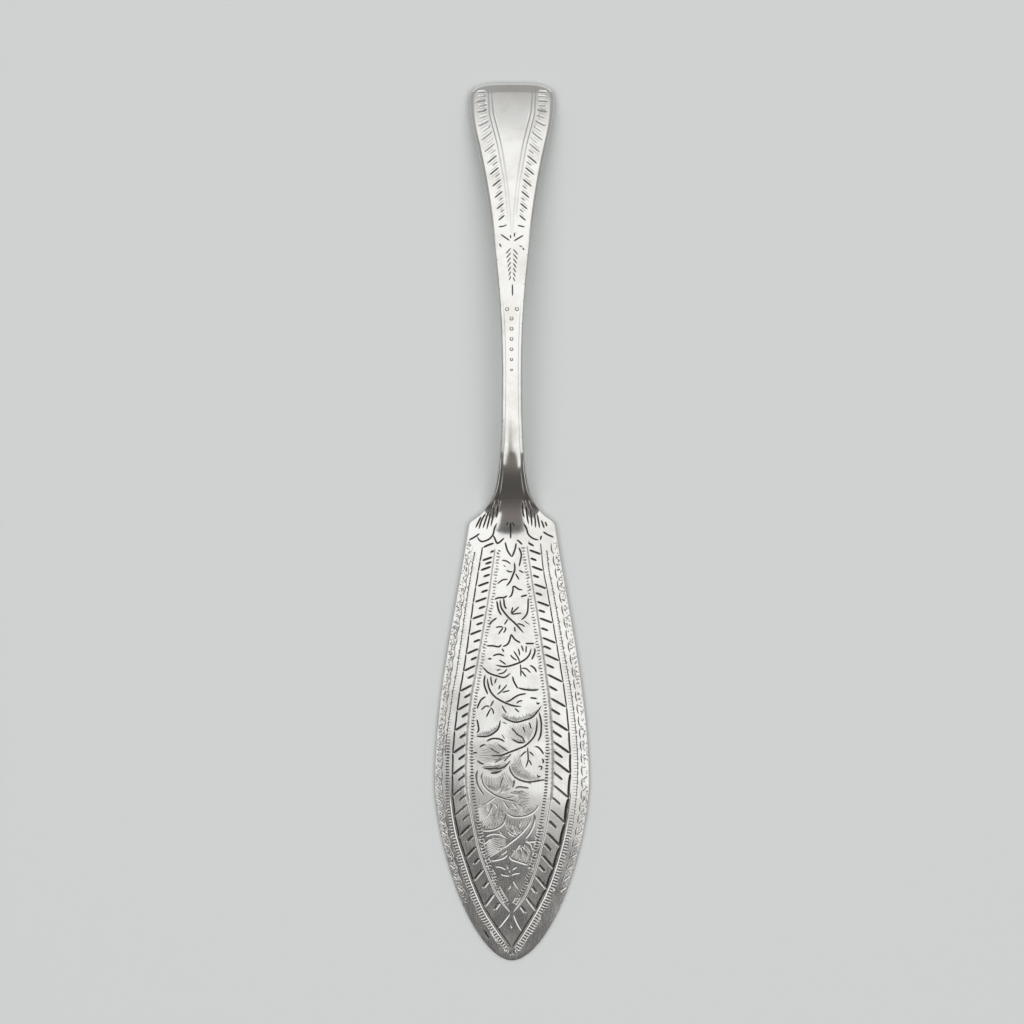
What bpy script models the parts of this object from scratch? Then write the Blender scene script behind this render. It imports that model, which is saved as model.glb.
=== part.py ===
"""A silver-plated butter knife: a forged handle, a rolled leaf-shaped blade and the solder between them.

The knife lies on its blade.  +Y runs from the blade's tip to the end of the handle, +Z is up, and the
origin is under the middle of the length, on the surface that the knife lies on.  The blade's shoulders
stand at y = shoulder_y().  Handle and blade meet in a soldered half lap inside the neck.
"""

import math

import bmesh
import bpy

MM = 0.001

# Plan view: lengths along Y from the shoulders, widths across X
BLADE_LENGTH = 95.0 * MM
HANDLE_LENGTH = 95.0 * MM
SHOULDER_WIDTH = 18.5 * MM
BLADE_WIDTH = 33.5 * MM
BELLY_DISTANCE = 57.0 * MM
BLADE_SIDE_SLOPE = 0.15
TIP_FULLNESS = 1.8
TIP_ROUNDNESS = 0.65
SHOULDER_ROUNDING = 1.4 * MM
STEM_WIDTH = 4.4 * MM
WAIST_DISTANCE = 31.0 * MM
NECK_FLARE = 7.5
HANDLE_END_WIDTH = 18.4 * MM
HANDLE_FLARE_REACH = 56.3 * MM
HANDLE_FLARE_ROUNDING = 1.2 * MM
END_CORNER_LENGTH = 5.0 * MM
END_SQUARENESS = 3.6

# Side view: heights of the underside and thicknesses on the centre line
NECK_RISE_START = 4.0 * MM
NECK_RISE_LENGTH = 18.5 * MM
SHOULDER_LAG = 20.0 * MM
ARCH_DISTANCE = 38.0 * MM
ARCH_HEIGHT = 7.4 * MM
HEEL_THICKNESS = 1.6 * MM
BELLY_THICKNESS = 1.35 * MM
TIP_THICKNESS = 0.75 * MM
NECK_THICKNESS = 3.1 * MM
NECK_DISTANCE = 15.0 * MM
WAIST_THICKNESS = 3.0 * MM
END_THICKNESS = 1.8 * MM
END_LIP_LENGTH = 2.4 * MM
END_LIP_DROP = 0.5 * MM

# Cross section: the top is domed, then bevelled to the rim, and the underside has a small bevel
BLADE_DOME = 0.35 * MM
HANDLE_DOME = 0.12 * MM
BLADE_BEVEL_WIDTH = 0.7 * MM
BLADE_BEVEL_DROP = 0.12 * MM
HANDLE_BEVEL_WIDTH = 0.8 * MM
HANDLE_BEVEL_DROP = 0.55 * MM
BLADE_UNDER_BEVEL = 0.15 * MM
HANDLE_UNDER_BEVEL = 0.4 * MM

# The soldered half lap in the neck
LAP_DISTANCE = 5.0 * MM
LAP_LENGTH = 10.0 * MM
LAP_FILLET = 0.1 * MM
SOLDER_THICKNESS = 0.15 * MM
SOLDER_CLEARANCE = 0.05 * MM

# How finely the surfaces are faceted
TOP_POINTS = 13
UNDER_POINTS = 9
BLADE_STATIONS = 44
NECK_STATIONS = 24
HANDLE_STATIONS = 44
END_CAP_INSET = 0.03 * MM
SHARP_EDGE = math.radians(25)

BLADE_COLOUR = (0.86, 0.85, 0.82, 1.0)
BLADE_ROUGHNESS = 0.24
HANDLE_COLOUR = (0.86, 0.85, 0.82, 1.0)
HANDLE_ROUGHNESS = 0.2
SOLDER_COLOUR = (0.70, 0.69, 0.66, 1.0)
SOLDER_ROUGHNESS = 0.45


def clear_scene():
    for old in list(bpy.data.objects):
        bpy.data.objects.remove(old)


def shoulder_y():
    """The shoulders' place when the whole length is centred on the origin."""
    return (BLADE_LENGTH - HANDLE_LENGTH) / 2


def smooth_min(a, b, rounding):
    """The smaller of two lengths, with the corner where they cross rounded off."""
    blend = max(rounding - abs(a - b), 0.0) / rounding
    return min(a, b) - blend * blend * rounding / 4


def ease(start, end, share):
    """From start to end as share goes from 0 to 1, level at both ends."""
    share = min(max(share, 0.0), 1.0)
    return start + (end - start) * share * share * (3 - 2 * share)


def blade_half_width(d):
    """Half the blade's width at distance d past the shoulders, towards the tip."""
    if d < BELLY_DISTANCE:
        # A cubic that leaves the shoulder at a slope and is level at the belly
        s = d / BELLY_DISTANCE
        start, belly = SHOULDER_WIDTH / 2, BLADE_WIDTH / 2
        slope = BLADE_SIDE_SLOPE * BELLY_DISTANCE
        return (
            start * (2 * s**3 - 3 * s**2 + 1)
            + slope * (s**3 - 2 * s**2 + s)
            + belly * (3 * s**2 - 2 * s**3)
        )
    s = min((d - BELLY_DISTANCE) / (BLADE_LENGTH - BELLY_DISTANCE), 1.0)
    return BLADE_WIDTH / 2 * (1 - s**TIP_FULLNESS) ** TIP_ROUNDNESS


def neck_half_width(d):
    """Half the neck's width at distance d before the shoulders, towards the handle."""
    s = min(d / WAIST_DISTANCE, 1.0)
    flare = (1 - s) ** 2 / (1 + NECK_FLARE * s)
    return STEM_WIDTH / 2 + (SHOULDER_WIDTH - STEM_WIDTH) / 2 * flare


def handle_half_width(d):
    """Half the handle's width past the waist: a parabola that opens to the squared, rounded end."""
    full = HANDLE_END_WIDTH / 2
    s = (d - WAIST_DISTANCE) / HANDLE_FLARE_REACH
    open_to = STEM_WIDTH / 2 + (full - STEM_WIDTH / 2) * s * s
    width = smooth_min(open_to, full, HANDLE_FLARE_ROUNDING)
    corner = max(d - (HANDLE_LENGTH - END_CORNER_LENGTH), 0.0) / END_CORNER_LENGTH
    return width * max(1 - corner**END_SQUARENESS, 0.0) ** (1 / END_SQUARENESS)


def half_width(y):
    """Half the knife's width at y."""
    d = y - shoulder_y()
    if d > WAIST_DISTANCE:
        return handle_half_width(d)
    if d > SHOULDER_ROUNDING:
        return neck_half_width(d)
    if d < -SHOULDER_ROUNDING:
        return blade_half_width(-d)
    return smooth_min(blade_half_width(-d), neck_half_width(d), SHOULDER_ROUNDING)


def underside(x, y):
    """Height of the underside: flat under the blade, up through the neck, and down in an arch to the end.

    The rise starts on the centre line and later beside it, so the shoulders stay flat and the neck
    leaves the blade as a rounded ridge.
    """
    d = y - shoulder_y()
    lag = SHOULDER_LAG * abs(x / (SHOULDER_WIDTH / 2)) ** 3
    neck_share = (d - lag + NECK_RISE_START) / NECK_RISE_LENGTH
    arch_share = (d - ARCH_DISTANCE) / (HANDLE_LENGTH - ARCH_DISTANCE)
    arch = ARCH_HEIGHT * (1 - arch_share * arch_share)
    return ease(0.0, arch, neck_share)


def thickness(y):
    """Thickness on the centre line."""
    d = y - shoulder_y()
    if d < -BELLY_DISTANCE:
        return ease(BELLY_THICKNESS, TIP_THICKNESS, (-d - BELLY_DISTANCE) / (BLADE_LENGTH - BELLY_DISTANCE))
    if d < 0:
        return ease(HEEL_THICKNESS, BELLY_THICKNESS, -d / BELLY_DISTANCE)
    if d < NECK_DISTANCE:
        return ease(HEEL_THICKNESS, NECK_THICKNESS, d / NECK_DISTANCE)
    if d < WAIST_DISTANCE:
        return ease(NECK_THICKNESS, WAIST_THICKNESS, (d - NECK_DISTANCE) / (WAIST_DISTANCE - NECK_DISTANCE))
    return ease(WAIST_THICKNESS, END_THICKNESS, (d - WAIST_DISTANCE) / (HANDLE_LENGTH - WAIST_DISTANCE))


def lip_drop(y):
    """How far the top turns down near the end of the handle."""
    into_lip = y - shoulder_y() - (HANDLE_LENGTH - END_LIP_LENGTH)
    return END_LIP_DROP * max(into_lip / END_LIP_LENGTH, 0.0) ** 2


def lap_height(x, y):
    """Height of the lap's mid surface, halfway through the neck."""
    return underside(x, y) + thickness(y) / 2


def spread(half, count):
    """Places across the width, from -half to half."""
    steps = int(count) - 1
    return [half * (2 * i / steps - 1) for i in range(steps + 1)]


def section(y, floor=None, roof=None):
    """The closed section at y as (x, z) points: the top from left to right, then the underside back.

    A floor or a roof, as a height above the lap's mid surface, cuts the section there for one half
    of the lap.
    """
    half = half_width(y)
    to_handle = (y - shoulder_y()) / NECK_DISTANCE
    dome = ease(BLADE_DOME, HANDLE_DOME, to_handle)
    middle = thickness(y) - lip_drop(y)
    # The bevels leave at least a quarter of the rim standing
    rim = middle - dome
    bevel = min(ease(BLADE_BEVEL_WIDTH, HANDLE_BEVEL_WIDTH, to_handle), half / 2)
    drop = min(ease(BLADE_BEVEL_DROP, HANDLE_BEVEL_DROP, to_handle), rim / 2)
    under = min(ease(BLADE_UNDER_BEVEL, HANDLE_UNDER_BEVEL, to_handle), rim / 4, half / 2)
    edge = underside(half, y)
    top = [(x, underside(x, y) + middle - dome * (x / half) ** 2) for x in spread(half - bevel, TOP_POINTS)]
    top = [(-half, edge + rim - drop)] + top + [(half, edge + rim - drop)]
    below = [(-x, underside(x, y)) for x in spread(half - under, UNDER_POINTS)]
    below = [(half, edge + under)] + below + [(-half, edge + under)]
    if roof is not None:
        top = [(x, lap_height(x, y) + roof) for x, z in top]
    if floor is not None:
        below = [(x, lap_height(x, y) + floor) for x, z in below]
    return top + below


def even_stations(start, end, count):
    steps = int(count) - 1
    return [start + (end - start) * i / steps for i in range(steps + 1)]


def stations_to_round_end(start, end, count):
    """Stations that close up towards a rounded end, stopping just short of its last point."""
    steps = int(count) - 1
    turn = [math.sin(math.pi / 2 * i / steps) for i in range(steps + 1)]
    stop = end - math.copysign(END_CAP_INSET, end - start)
    return [start + (stop - start) * t for t in turn]


def loft(name, sections, material, parent):
    """One closed object through (y, section) loops, bridged one to the next and capped at both ends."""
    mesh = bpy.data.meshes.new(name)
    bm = bmesh.new()
    loops = []
    for y, outline in sections:
        verts = [bm.verts.new((x, y, z)) for x, z in outline]
        loops.append([bm.edges.new((a, b)) for a, b in zip(verts, verts[1:] + verts[:1])])
    for one, other in zip(loops, loops[1:]):
        bmesh.ops.bridge_loops(bm, edges=one + other)
    for end in (loops[0], loops[-1]):
        bmesh.ops.contextual_create(bm, geom=end)
    bmesh.ops.recalc_face_normals(bm, faces=bm.faces)
    bm.to_mesh(mesh)
    bm.free()
    mesh.shade_smooth()
    mesh.set_sharp_from_angle(angle=SHARP_EDGE)
    obj = bpy.data.objects.new(name, mesh)
    obj.data.materials.append(material)
    obj.parent = parent
    bpy.context.collection.objects.link(obj)
    return obj


def metal(name, colour, roughness):
    material = bpy.data.materials.new(name)
    material.use_nodes = True
    shader = material.node_tree.nodes["Principled BSDF"]
    shader.inputs["Base Color"].default_value = colour
    shader.inputs["Roughness"].default_value = roughness
    shader.inputs["Metallic"].default_value = 1.0
    return material


def lap_ends():
    """Where the lap starts, over the heel, and where it ends, under the stem."""
    start = shoulder_y() + LAP_DISTANCE
    return start, start + LAP_LENGTH


def make_blade(parent):
    """The blade, with a tongue half the neck's thickness that reaches under the stem."""
    start, end = lap_ends()
    tip, shoulder = shoulder_y() - BLADE_LENGTH, shoulder_y()
    belly, heel = shoulder - BELLY_DISTANCE, shoulder - SHOULDER_ROUNDING
    face = list(reversed(stations_to_round_end(belly, tip, BLADE_STATIONS // 2)))
    face += even_stations(belly, heel, BLADE_STATIONS // 2)[1:]
    face += even_stations(heel, start - LAP_FILLET, NECK_STATIONS // 2)[1:]
    sections = [(y, section(y)) for y in face]
    below_solder = SOLDER_THICKNESS / 2 + SOLDER_CLEARANCE
    for y in even_stations(start, end - SOLDER_CLEARANCE, NECK_STATIONS // 2):
        sections.append((y, section(y, roof=-below_solder)))
    return loft("blade", sections, metal("blade_plate", BLADE_COLOUR, BLADE_ROUGHNESS), parent)


def make_handle(parent):
    """The handle and stem, whose neck is cut back to its upper half over the blade's tongue."""
    start, end = lap_ends()
    waist, tail = shoulder_y() + WAIST_DISTANCE, shoulder_y() + HANDLE_LENGTH
    corner = tail - END_CORNER_LENGTH
    above_solder = SOLDER_THICKNESS / 2 + SOLDER_CLEARANCE
    sections = []
    for y in even_stations(start + SOLDER_CLEARANCE, end, NECK_STATIONS // 2):
        sections.append((y, section(y, floor=above_solder)))
    full = even_stations(end + LAP_FILLET, waist, NECK_STATIONS // 2)
    full += even_stations(waist, corner, HANDLE_STATIONS // 2)[1:]
    full += stations_to_round_end(corner, tail, HANDLE_STATIONS // 2)[1:]
    sections += [(y, section(y)) for y in full]
    return loft("handle", sections, metal("handle_plate", HANDLE_COLOUR, HANDLE_ROUGHNESS), parent)


def make_solder(parent):
    """The hard solder that fills the lap, as wide as the neck."""
    start, end = lap_ends()
    sections = []
    for y in even_stations(start + SOLDER_CLEARANCE, end - SOLDER_CLEARANCE, NECK_STATIONS // 2):
        across = spread(half_width(y), TOP_POINTS)
        top = [(x, lap_height(x, y) + SOLDER_THICKNESS / 2) for x in across]
        below = [(-x, lap_height(x, y) - SOLDER_THICKNESS / 2) for x in across]
        sections.append((y, top + below))
    return loft("solder_seam", sections, metal("hard_solder", SOLDER_COLOUR, SOLDER_ROUGHNESS), parent)


def main():
    clear_scene()
    knife = bpy.data.objects.new("butter_knife", None)
    bpy.context.collection.objects.link(knife)
    make_blade(knife)
    make_handle(knife)
    make_solder(knife)


main()
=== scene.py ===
"""A silver-plated butter knife with bright-cut engraving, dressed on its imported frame, on a plain stage.

The knife lies on its blade.  +Y runs from the blade's tip to the end of the handle, +Z is up, and the
shoulders stand at y = 0.  Shapes are worked out in millimetres over the plan view and turned into metres
in the meshes.
"""

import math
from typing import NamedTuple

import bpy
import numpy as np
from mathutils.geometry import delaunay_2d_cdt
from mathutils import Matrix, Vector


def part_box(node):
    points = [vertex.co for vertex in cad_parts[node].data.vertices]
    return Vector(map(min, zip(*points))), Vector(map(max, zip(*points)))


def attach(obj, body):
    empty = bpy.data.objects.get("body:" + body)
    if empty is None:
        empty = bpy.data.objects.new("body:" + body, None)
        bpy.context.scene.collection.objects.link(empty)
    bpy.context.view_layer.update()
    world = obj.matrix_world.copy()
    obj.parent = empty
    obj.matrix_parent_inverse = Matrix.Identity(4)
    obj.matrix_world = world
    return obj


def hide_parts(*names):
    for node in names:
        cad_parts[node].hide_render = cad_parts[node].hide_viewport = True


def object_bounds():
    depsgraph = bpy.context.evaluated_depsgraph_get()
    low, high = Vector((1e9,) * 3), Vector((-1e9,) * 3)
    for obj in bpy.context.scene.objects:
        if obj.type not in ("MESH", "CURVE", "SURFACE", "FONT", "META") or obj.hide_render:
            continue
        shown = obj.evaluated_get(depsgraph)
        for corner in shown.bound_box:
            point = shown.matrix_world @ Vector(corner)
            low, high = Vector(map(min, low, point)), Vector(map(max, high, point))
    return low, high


bl_info = {
    "name": "Engraved Butter Knife",
    "version": (1, 0, 0),
    "blender": (4, 5, 0),
    "location": "View3D > Sidebar > Butter Knife",
    "description": "Builds a butter knife with an engraved silver blade and handle, and its stage",
    "category": "Add Mesh",
}

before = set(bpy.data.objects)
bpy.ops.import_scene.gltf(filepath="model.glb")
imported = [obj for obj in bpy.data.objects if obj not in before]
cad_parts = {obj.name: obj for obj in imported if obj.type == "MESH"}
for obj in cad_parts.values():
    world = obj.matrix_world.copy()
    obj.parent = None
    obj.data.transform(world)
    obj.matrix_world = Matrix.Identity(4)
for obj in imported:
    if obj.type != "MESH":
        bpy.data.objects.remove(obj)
CAD_LOW, CAD_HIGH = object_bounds()
BLADE_LOW, BLADE_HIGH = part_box("blade")
_, HANDLE_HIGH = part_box("handle")

MM = 0.001
DEGREE = math.radians(1)

# How finely the surfaces are meshed: lengths in millimetres, and counts
EDGE_STEP = 0.35
OUTLINE_SAMPLES = 2000
CURVE_SAMPLES = 12
LEAST_STEPS = 4.0
TOP_MESH = (0.6, (0.03, 0.07, 0.12, 0.2, 0.35, 0.55, 0.8, 1.1))
UNDER_MESH = (1.5, (0.04, 0.1, 0.2, 0.4))
RIM_REACH = 1.6
SEAM_GAP = 0.01
LAP_GAP = 3 * SEAM_GAP
SLOPE_STEP = 0.004
WELD = 1e-5
TINY = 1e-12
STRIP = 1.0
CORNER_ANGLE = 30 * DEGREE

# Details of the plain form, in millimetres or as shares
END_INSET = 0.03
SHOULDER_OVERLAP = 0.06
OPENING_START = 50.0
OPENING_LENGTH = 30.0
LIP_CURL = 0.15
ROUNDING_LIMIT = 0.2
BEVEL_LIMIT = 0.4
# Slow waves in the hand-finished surface: turns across and along for each millimetre, and where they start
WAVES = ((0.62, 0.31, 0.4), (-0.47, 0.44, 2.1), (0.83, -0.22, 4.0), (0.18, 0.71, 5.2))

# Angles from straight up, in degrees, between which the parts of the studio begin or end
SLANT_REACH = 8.0
BESIDE_BEGINS = (9, 18)
BESIDE_ENDS = (27, 32)
BESIDE_SHIFT = 38
LIGHT_BEGINS = (-10.5, -7.7)
LIGHT_SIDES = (44, 54)
LIGHT_DIMS = (35.2, 37.2)
LIGHT_ENDS = (38.8, 41)
CEILING_ENDS = (40, 76)
SHADE_ENDS = (14, 30)
FAR_WALL_BEGINS = (36, 41)
SIDE_WALL_BEGINS = (46, 54)
HANDLE_SIDE = (-30, -12)
HORIZON = (63, 71)
# What is left of the light where it has grown dimmer
DIMMED = 0.66

# The engraving, as points (x, y) on the plan view in millimetres

# Flutes that fan down the neck on to the heel
HEEL_FLUTES = (
    ((-6.6, 1.1), (-7.9, -1.5)),
    ((-5.6, 1.8), (-6.5, 0.3), (-7.2, -1.8)),
    ((-4.9, 2.3), (-5.4, 1.1), (-6.3, -1.6)),
    ((-4.3, 3), (-4.8, 0.9), (-5.5, -1.9)),
    ((-3.7, 3.9), (-4.1, 1.1), (-4.6, -1.2)),
    ((-3, 4.6), (-3.1, 2.2), (-3.4, 0.6)),
    ((2.2, 4.4), (2.3, 2.2), (2.7, 0.7)),
    ((3, 3.6), (3.2, 1.4), (3.6, -0.8)),
    ((3.9, 2.8), (4.2, 0.3), (4.3, -1.2)),
    ((4.7, 2), (5, 0.3), (5.1, -1.5)),
    ((5.4, 1.6), (5.7, 0.1), (6, -1.6)),
    ((6.3, 0.3), (7, -1.6)),
    ((7.1, 0), (7.6, -1.2)),
)
# Scallops under the flutes, and the bud that the trail grows from
HEEL_SCALLOPS = (
    ((-6.9, -2.6), (-8.2, -3.5), (-9.4, -4.1)),
    ((-3.2, -0.3), (-3.8, -1.6), (-4.1, -2.9), (-5, -3.9), (-6.5, -4.4), (-7.2, -3.9), (-7.5, -3.2)),
    ((-4.1, -2.9), (-3.6, -4), (-3.2, -4.8), (-2.4, -4.3), (-1.6, -3.5)),
    ((-0.3, 0), (-0.3, -3.9)),
    ((-0.7, 0), (-1.3, -1.1)),
    ((-0.1, 0), (0.6, -1.4)),
    ((2.4, -0.3), (3.1, -1.5), (3.5, -2.8), (4.5, -3.7), (5.9, -4.1)),
    ((6.6, -2.2), (7.7, -2.9), (9.1, -3.5)),
    ((6.4, -3), (6.1, -4.1)),
    ((1, -3.9), (2.3, -5.1)),
    ((-1.5, -4.4), (-1, -6.3), (0, -7.8)),
    ((0.9, -4.6), (0.7, -5.9), (0, -7.8)),
    ((1.4, -5.5), (2, -7.1), (1.8, -8.6), (1.5, -9.9)),
)
# The ivy trail from the heel to the tip: its stems
IVY_STEMS = (
    ((0.5, -8.8), (0.6, -10.4), (0.2, -11.6), (-0.4, -13), (-1.3, -14.1)),
    ((-2.6, -16.7), (-2.3, -18.7), (-0.9, -20.6), (0.8, -22.2), (2.6, -24.2)),
    ((-3.3, -17.1), (-2.9, -19.2), (-2.2, -20.4)),
    ((-1.8, -16.6), (-1.6, -18.3), (-1.1, -19)),
    ((4.2, -27.3), (3.7, -28.9), (2.6, -30), (0.9, -30.8), (-1.5, -31.4), (-3.7, -31)),
    ((4.9, -27.3), (4.9, -28.4), (4.2, -30)),
    ((-5.4, -33.7), (-5, -35.9), (-4.1, -37.5), (-2.5, -38.7), (0.1, -39.8), (2.2, -40)),
    ((-5.8, -33.1), (-6, -35.2), (-5.2, -37.5)),
    (
        (5.3, -42.2), (5.4, -43.9), (4.9, -46.3), (3.1, -48.3),
        (1.5, -49.1), (-0.6, -49.9), (-2.5, -50.6), (-5.1, -50.5),
    ),
    ((5.8, -41.1), (6.3, -43.5), (6.2, -46.1), (5.5, -47.7)),
    (
        (-6.2, -54.1), (-6.6, -55.2), (-6.3, -56.8), (-5.4, -58),
        (-3.7, -59.2), (-1.9, -59.9), (0.3, -60.5), (1.5, -61),
    ),
    ((-7.4, -53.7), (-7.7, -55), (-7.6, -56.5), (-7, -57.9), (-6, -59.2)),
    ((4.1, -64), (3.7, -65.3), (2.6, -66.8), (1.3, -68.1), (-0.2, -69.3), (-1.7, -70.4), (-3.5, -70.6)),
    ((4.8, -63.2), (4.9, -64.2), (4.6, -65.7), (3.9, -67.2), (2.8, -68.7)),
)
# The ivy leaves' edges
IVY_EDGES = (
    ((-3.9, -16.9), (-2.8, -16.5), (-1.8, -16.5), (-0.9, -16)),
    ((-0.8, -16.5), (-0.2, -16.1), (0.2, -15), (0.3, -14), (1.5, -14.7), (2.4, -14.8)),
    ((1.8, -16.3), (3.4, -15.9)),
    ((3.5, -16.4), (3.4, -19.3), (2.9, -20.5), (1.9, -21.4)),
    ((-3.2, -20.8), (-4.3, -21.6), (-4.9, -22.5)),
    ((-5.6, -26.9), (-4.2, -26.9), (-2.8, -27.1), (-2.2, -26.5)),
    ((-0.2, -24.3), (-0.5, -25.7), (-1, -26.6), (-2.1, -27.1)),
    ((-0.2, -24.3), (0.6, -25.5), (1.9, -26.3)),
    ((2.8, -26.4), (4.9, -26.4)),
    ((-4.2, -29.1), (-2.9, -28.7), (-1.6, -29.1)),
    ((-5.2, -29.7), (-4.4, -29.7)),
    ((-6.5, -31.3), (-5.1, -32.7), (-3.2, -33.4), (-1.6, -33.7), (-0.2, -32.7)),
    ((3.8, -31), (4.9, -31.8), (5.3, -32.7)),
    ((0.1, -33.4), (0.4, -34.6), (1.3, -36.2)),
    ((1.3, -36), (2.6, -36.3), (4.2, -36.5), (5.8, -36.4)),
    ((-1.5, -38.9), (-0.6, -38.8), (1.3, -37.6), (3.2, -37.2)),
    ((3.8, -38.1), (5.5, -38.3)),
    ((-2.3, -42), (-1.1, -42.8), (0.9, -43.4), (3.2, -42.8), (4.4, -42.3), (5.6, -41), (6.4, -39.7)),
    ((-5.6, -37.8), (-6.6, -38.5), (-7.2, -39.6), (-7.6, -40.6)),
    ((-7.6, -42.7), (-7.3, -44.1), (-7.2, -45.2), (-7.7, -45.8)),
    ((-7.8, -46.5), (-5.2, -46.4), (-3.5, -45.4), (-2.8, -44.4), (-2.5, -42.8)),
    ((-0.1, -44.5), (1.1, -46), (2.2, -46.7), (2.8, -47.8)),
    ((-0.1, -47), (0.6, -47.4), (1.5, -47.8), (2.8, -47.8)),
    ((-5.6, -47.6), (-4.7, -47.1), (-3.8, -46.9), (-2.5, -47.1), (-1.5, -47.7)),
    ((-7.1, -48.8), (-5.8, -48.1)),
    ((-7.6, -51.6), (-6.9, -52.2), (-6, -52.5)),
    ((-6.4, -53.2), (-5, -53.5), (-3.5, -53.4), (-2.1, -53.3), (-1, -52.5), (-0.3, -51.6)),
    ((-4.7, -54.4), (-3.8, -54.4), (-2.9, -54.2), (-2.1, -53.7)),
    ((5, -48.5), (6, -49.1), (6.9, -50.4)),
    ((6.4, -51.2), (6.8, -51.8), (6.6, -52.4)),
    (
        (-0.6, -52.7), (-0.4, -53.8), (0.3, -55), (1.5, -55.8),
        (3.2, -56.3), (4.8, -56.2), (6.6, -55.9), (7.7, -55.9),
    ),
    ((0.5, -55.8), (0.4, -56.9), (0.1, -57.7)),
    ((0.6, -57.7), (1.5, -57.4), (2.6, -57.5), (3.7, -57.7)),
    (
        (-1.6, -62.6), (-0.9, -63.2), (0.2, -63.8), (1.5, -63.9),
        (2.9, -63.7), (4.1, -63.2), (5.1, -62.4), (6, -61.1),
    ),
    ((-1.3, -62.9), (-1.6, -64.8), (-2.4, -65.9), (-3.6, -66.5), (-5.2, -66.8), (-6.6, -66.8)),
    ((-5.8, -68.2), (-4.6, -67.6), (-3.5, -67.5), (-2.4, -67.7), (-1, -68.5)),
    ((-6.5, -69.6), (-5.6, -69.4), (-4.6, -68.4)),
    ((-4.6, -73.4), (-3, -73.1), (-1.8, -72.7), (-0.9, -72)),
    ((-0.6, -72.1), (-0.1, -73), (1.2, -73.5), (3.6, -74.3)),
    ((3, -68.9), (3.9, -69.2), (5.4, -69.1)),
)
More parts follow.
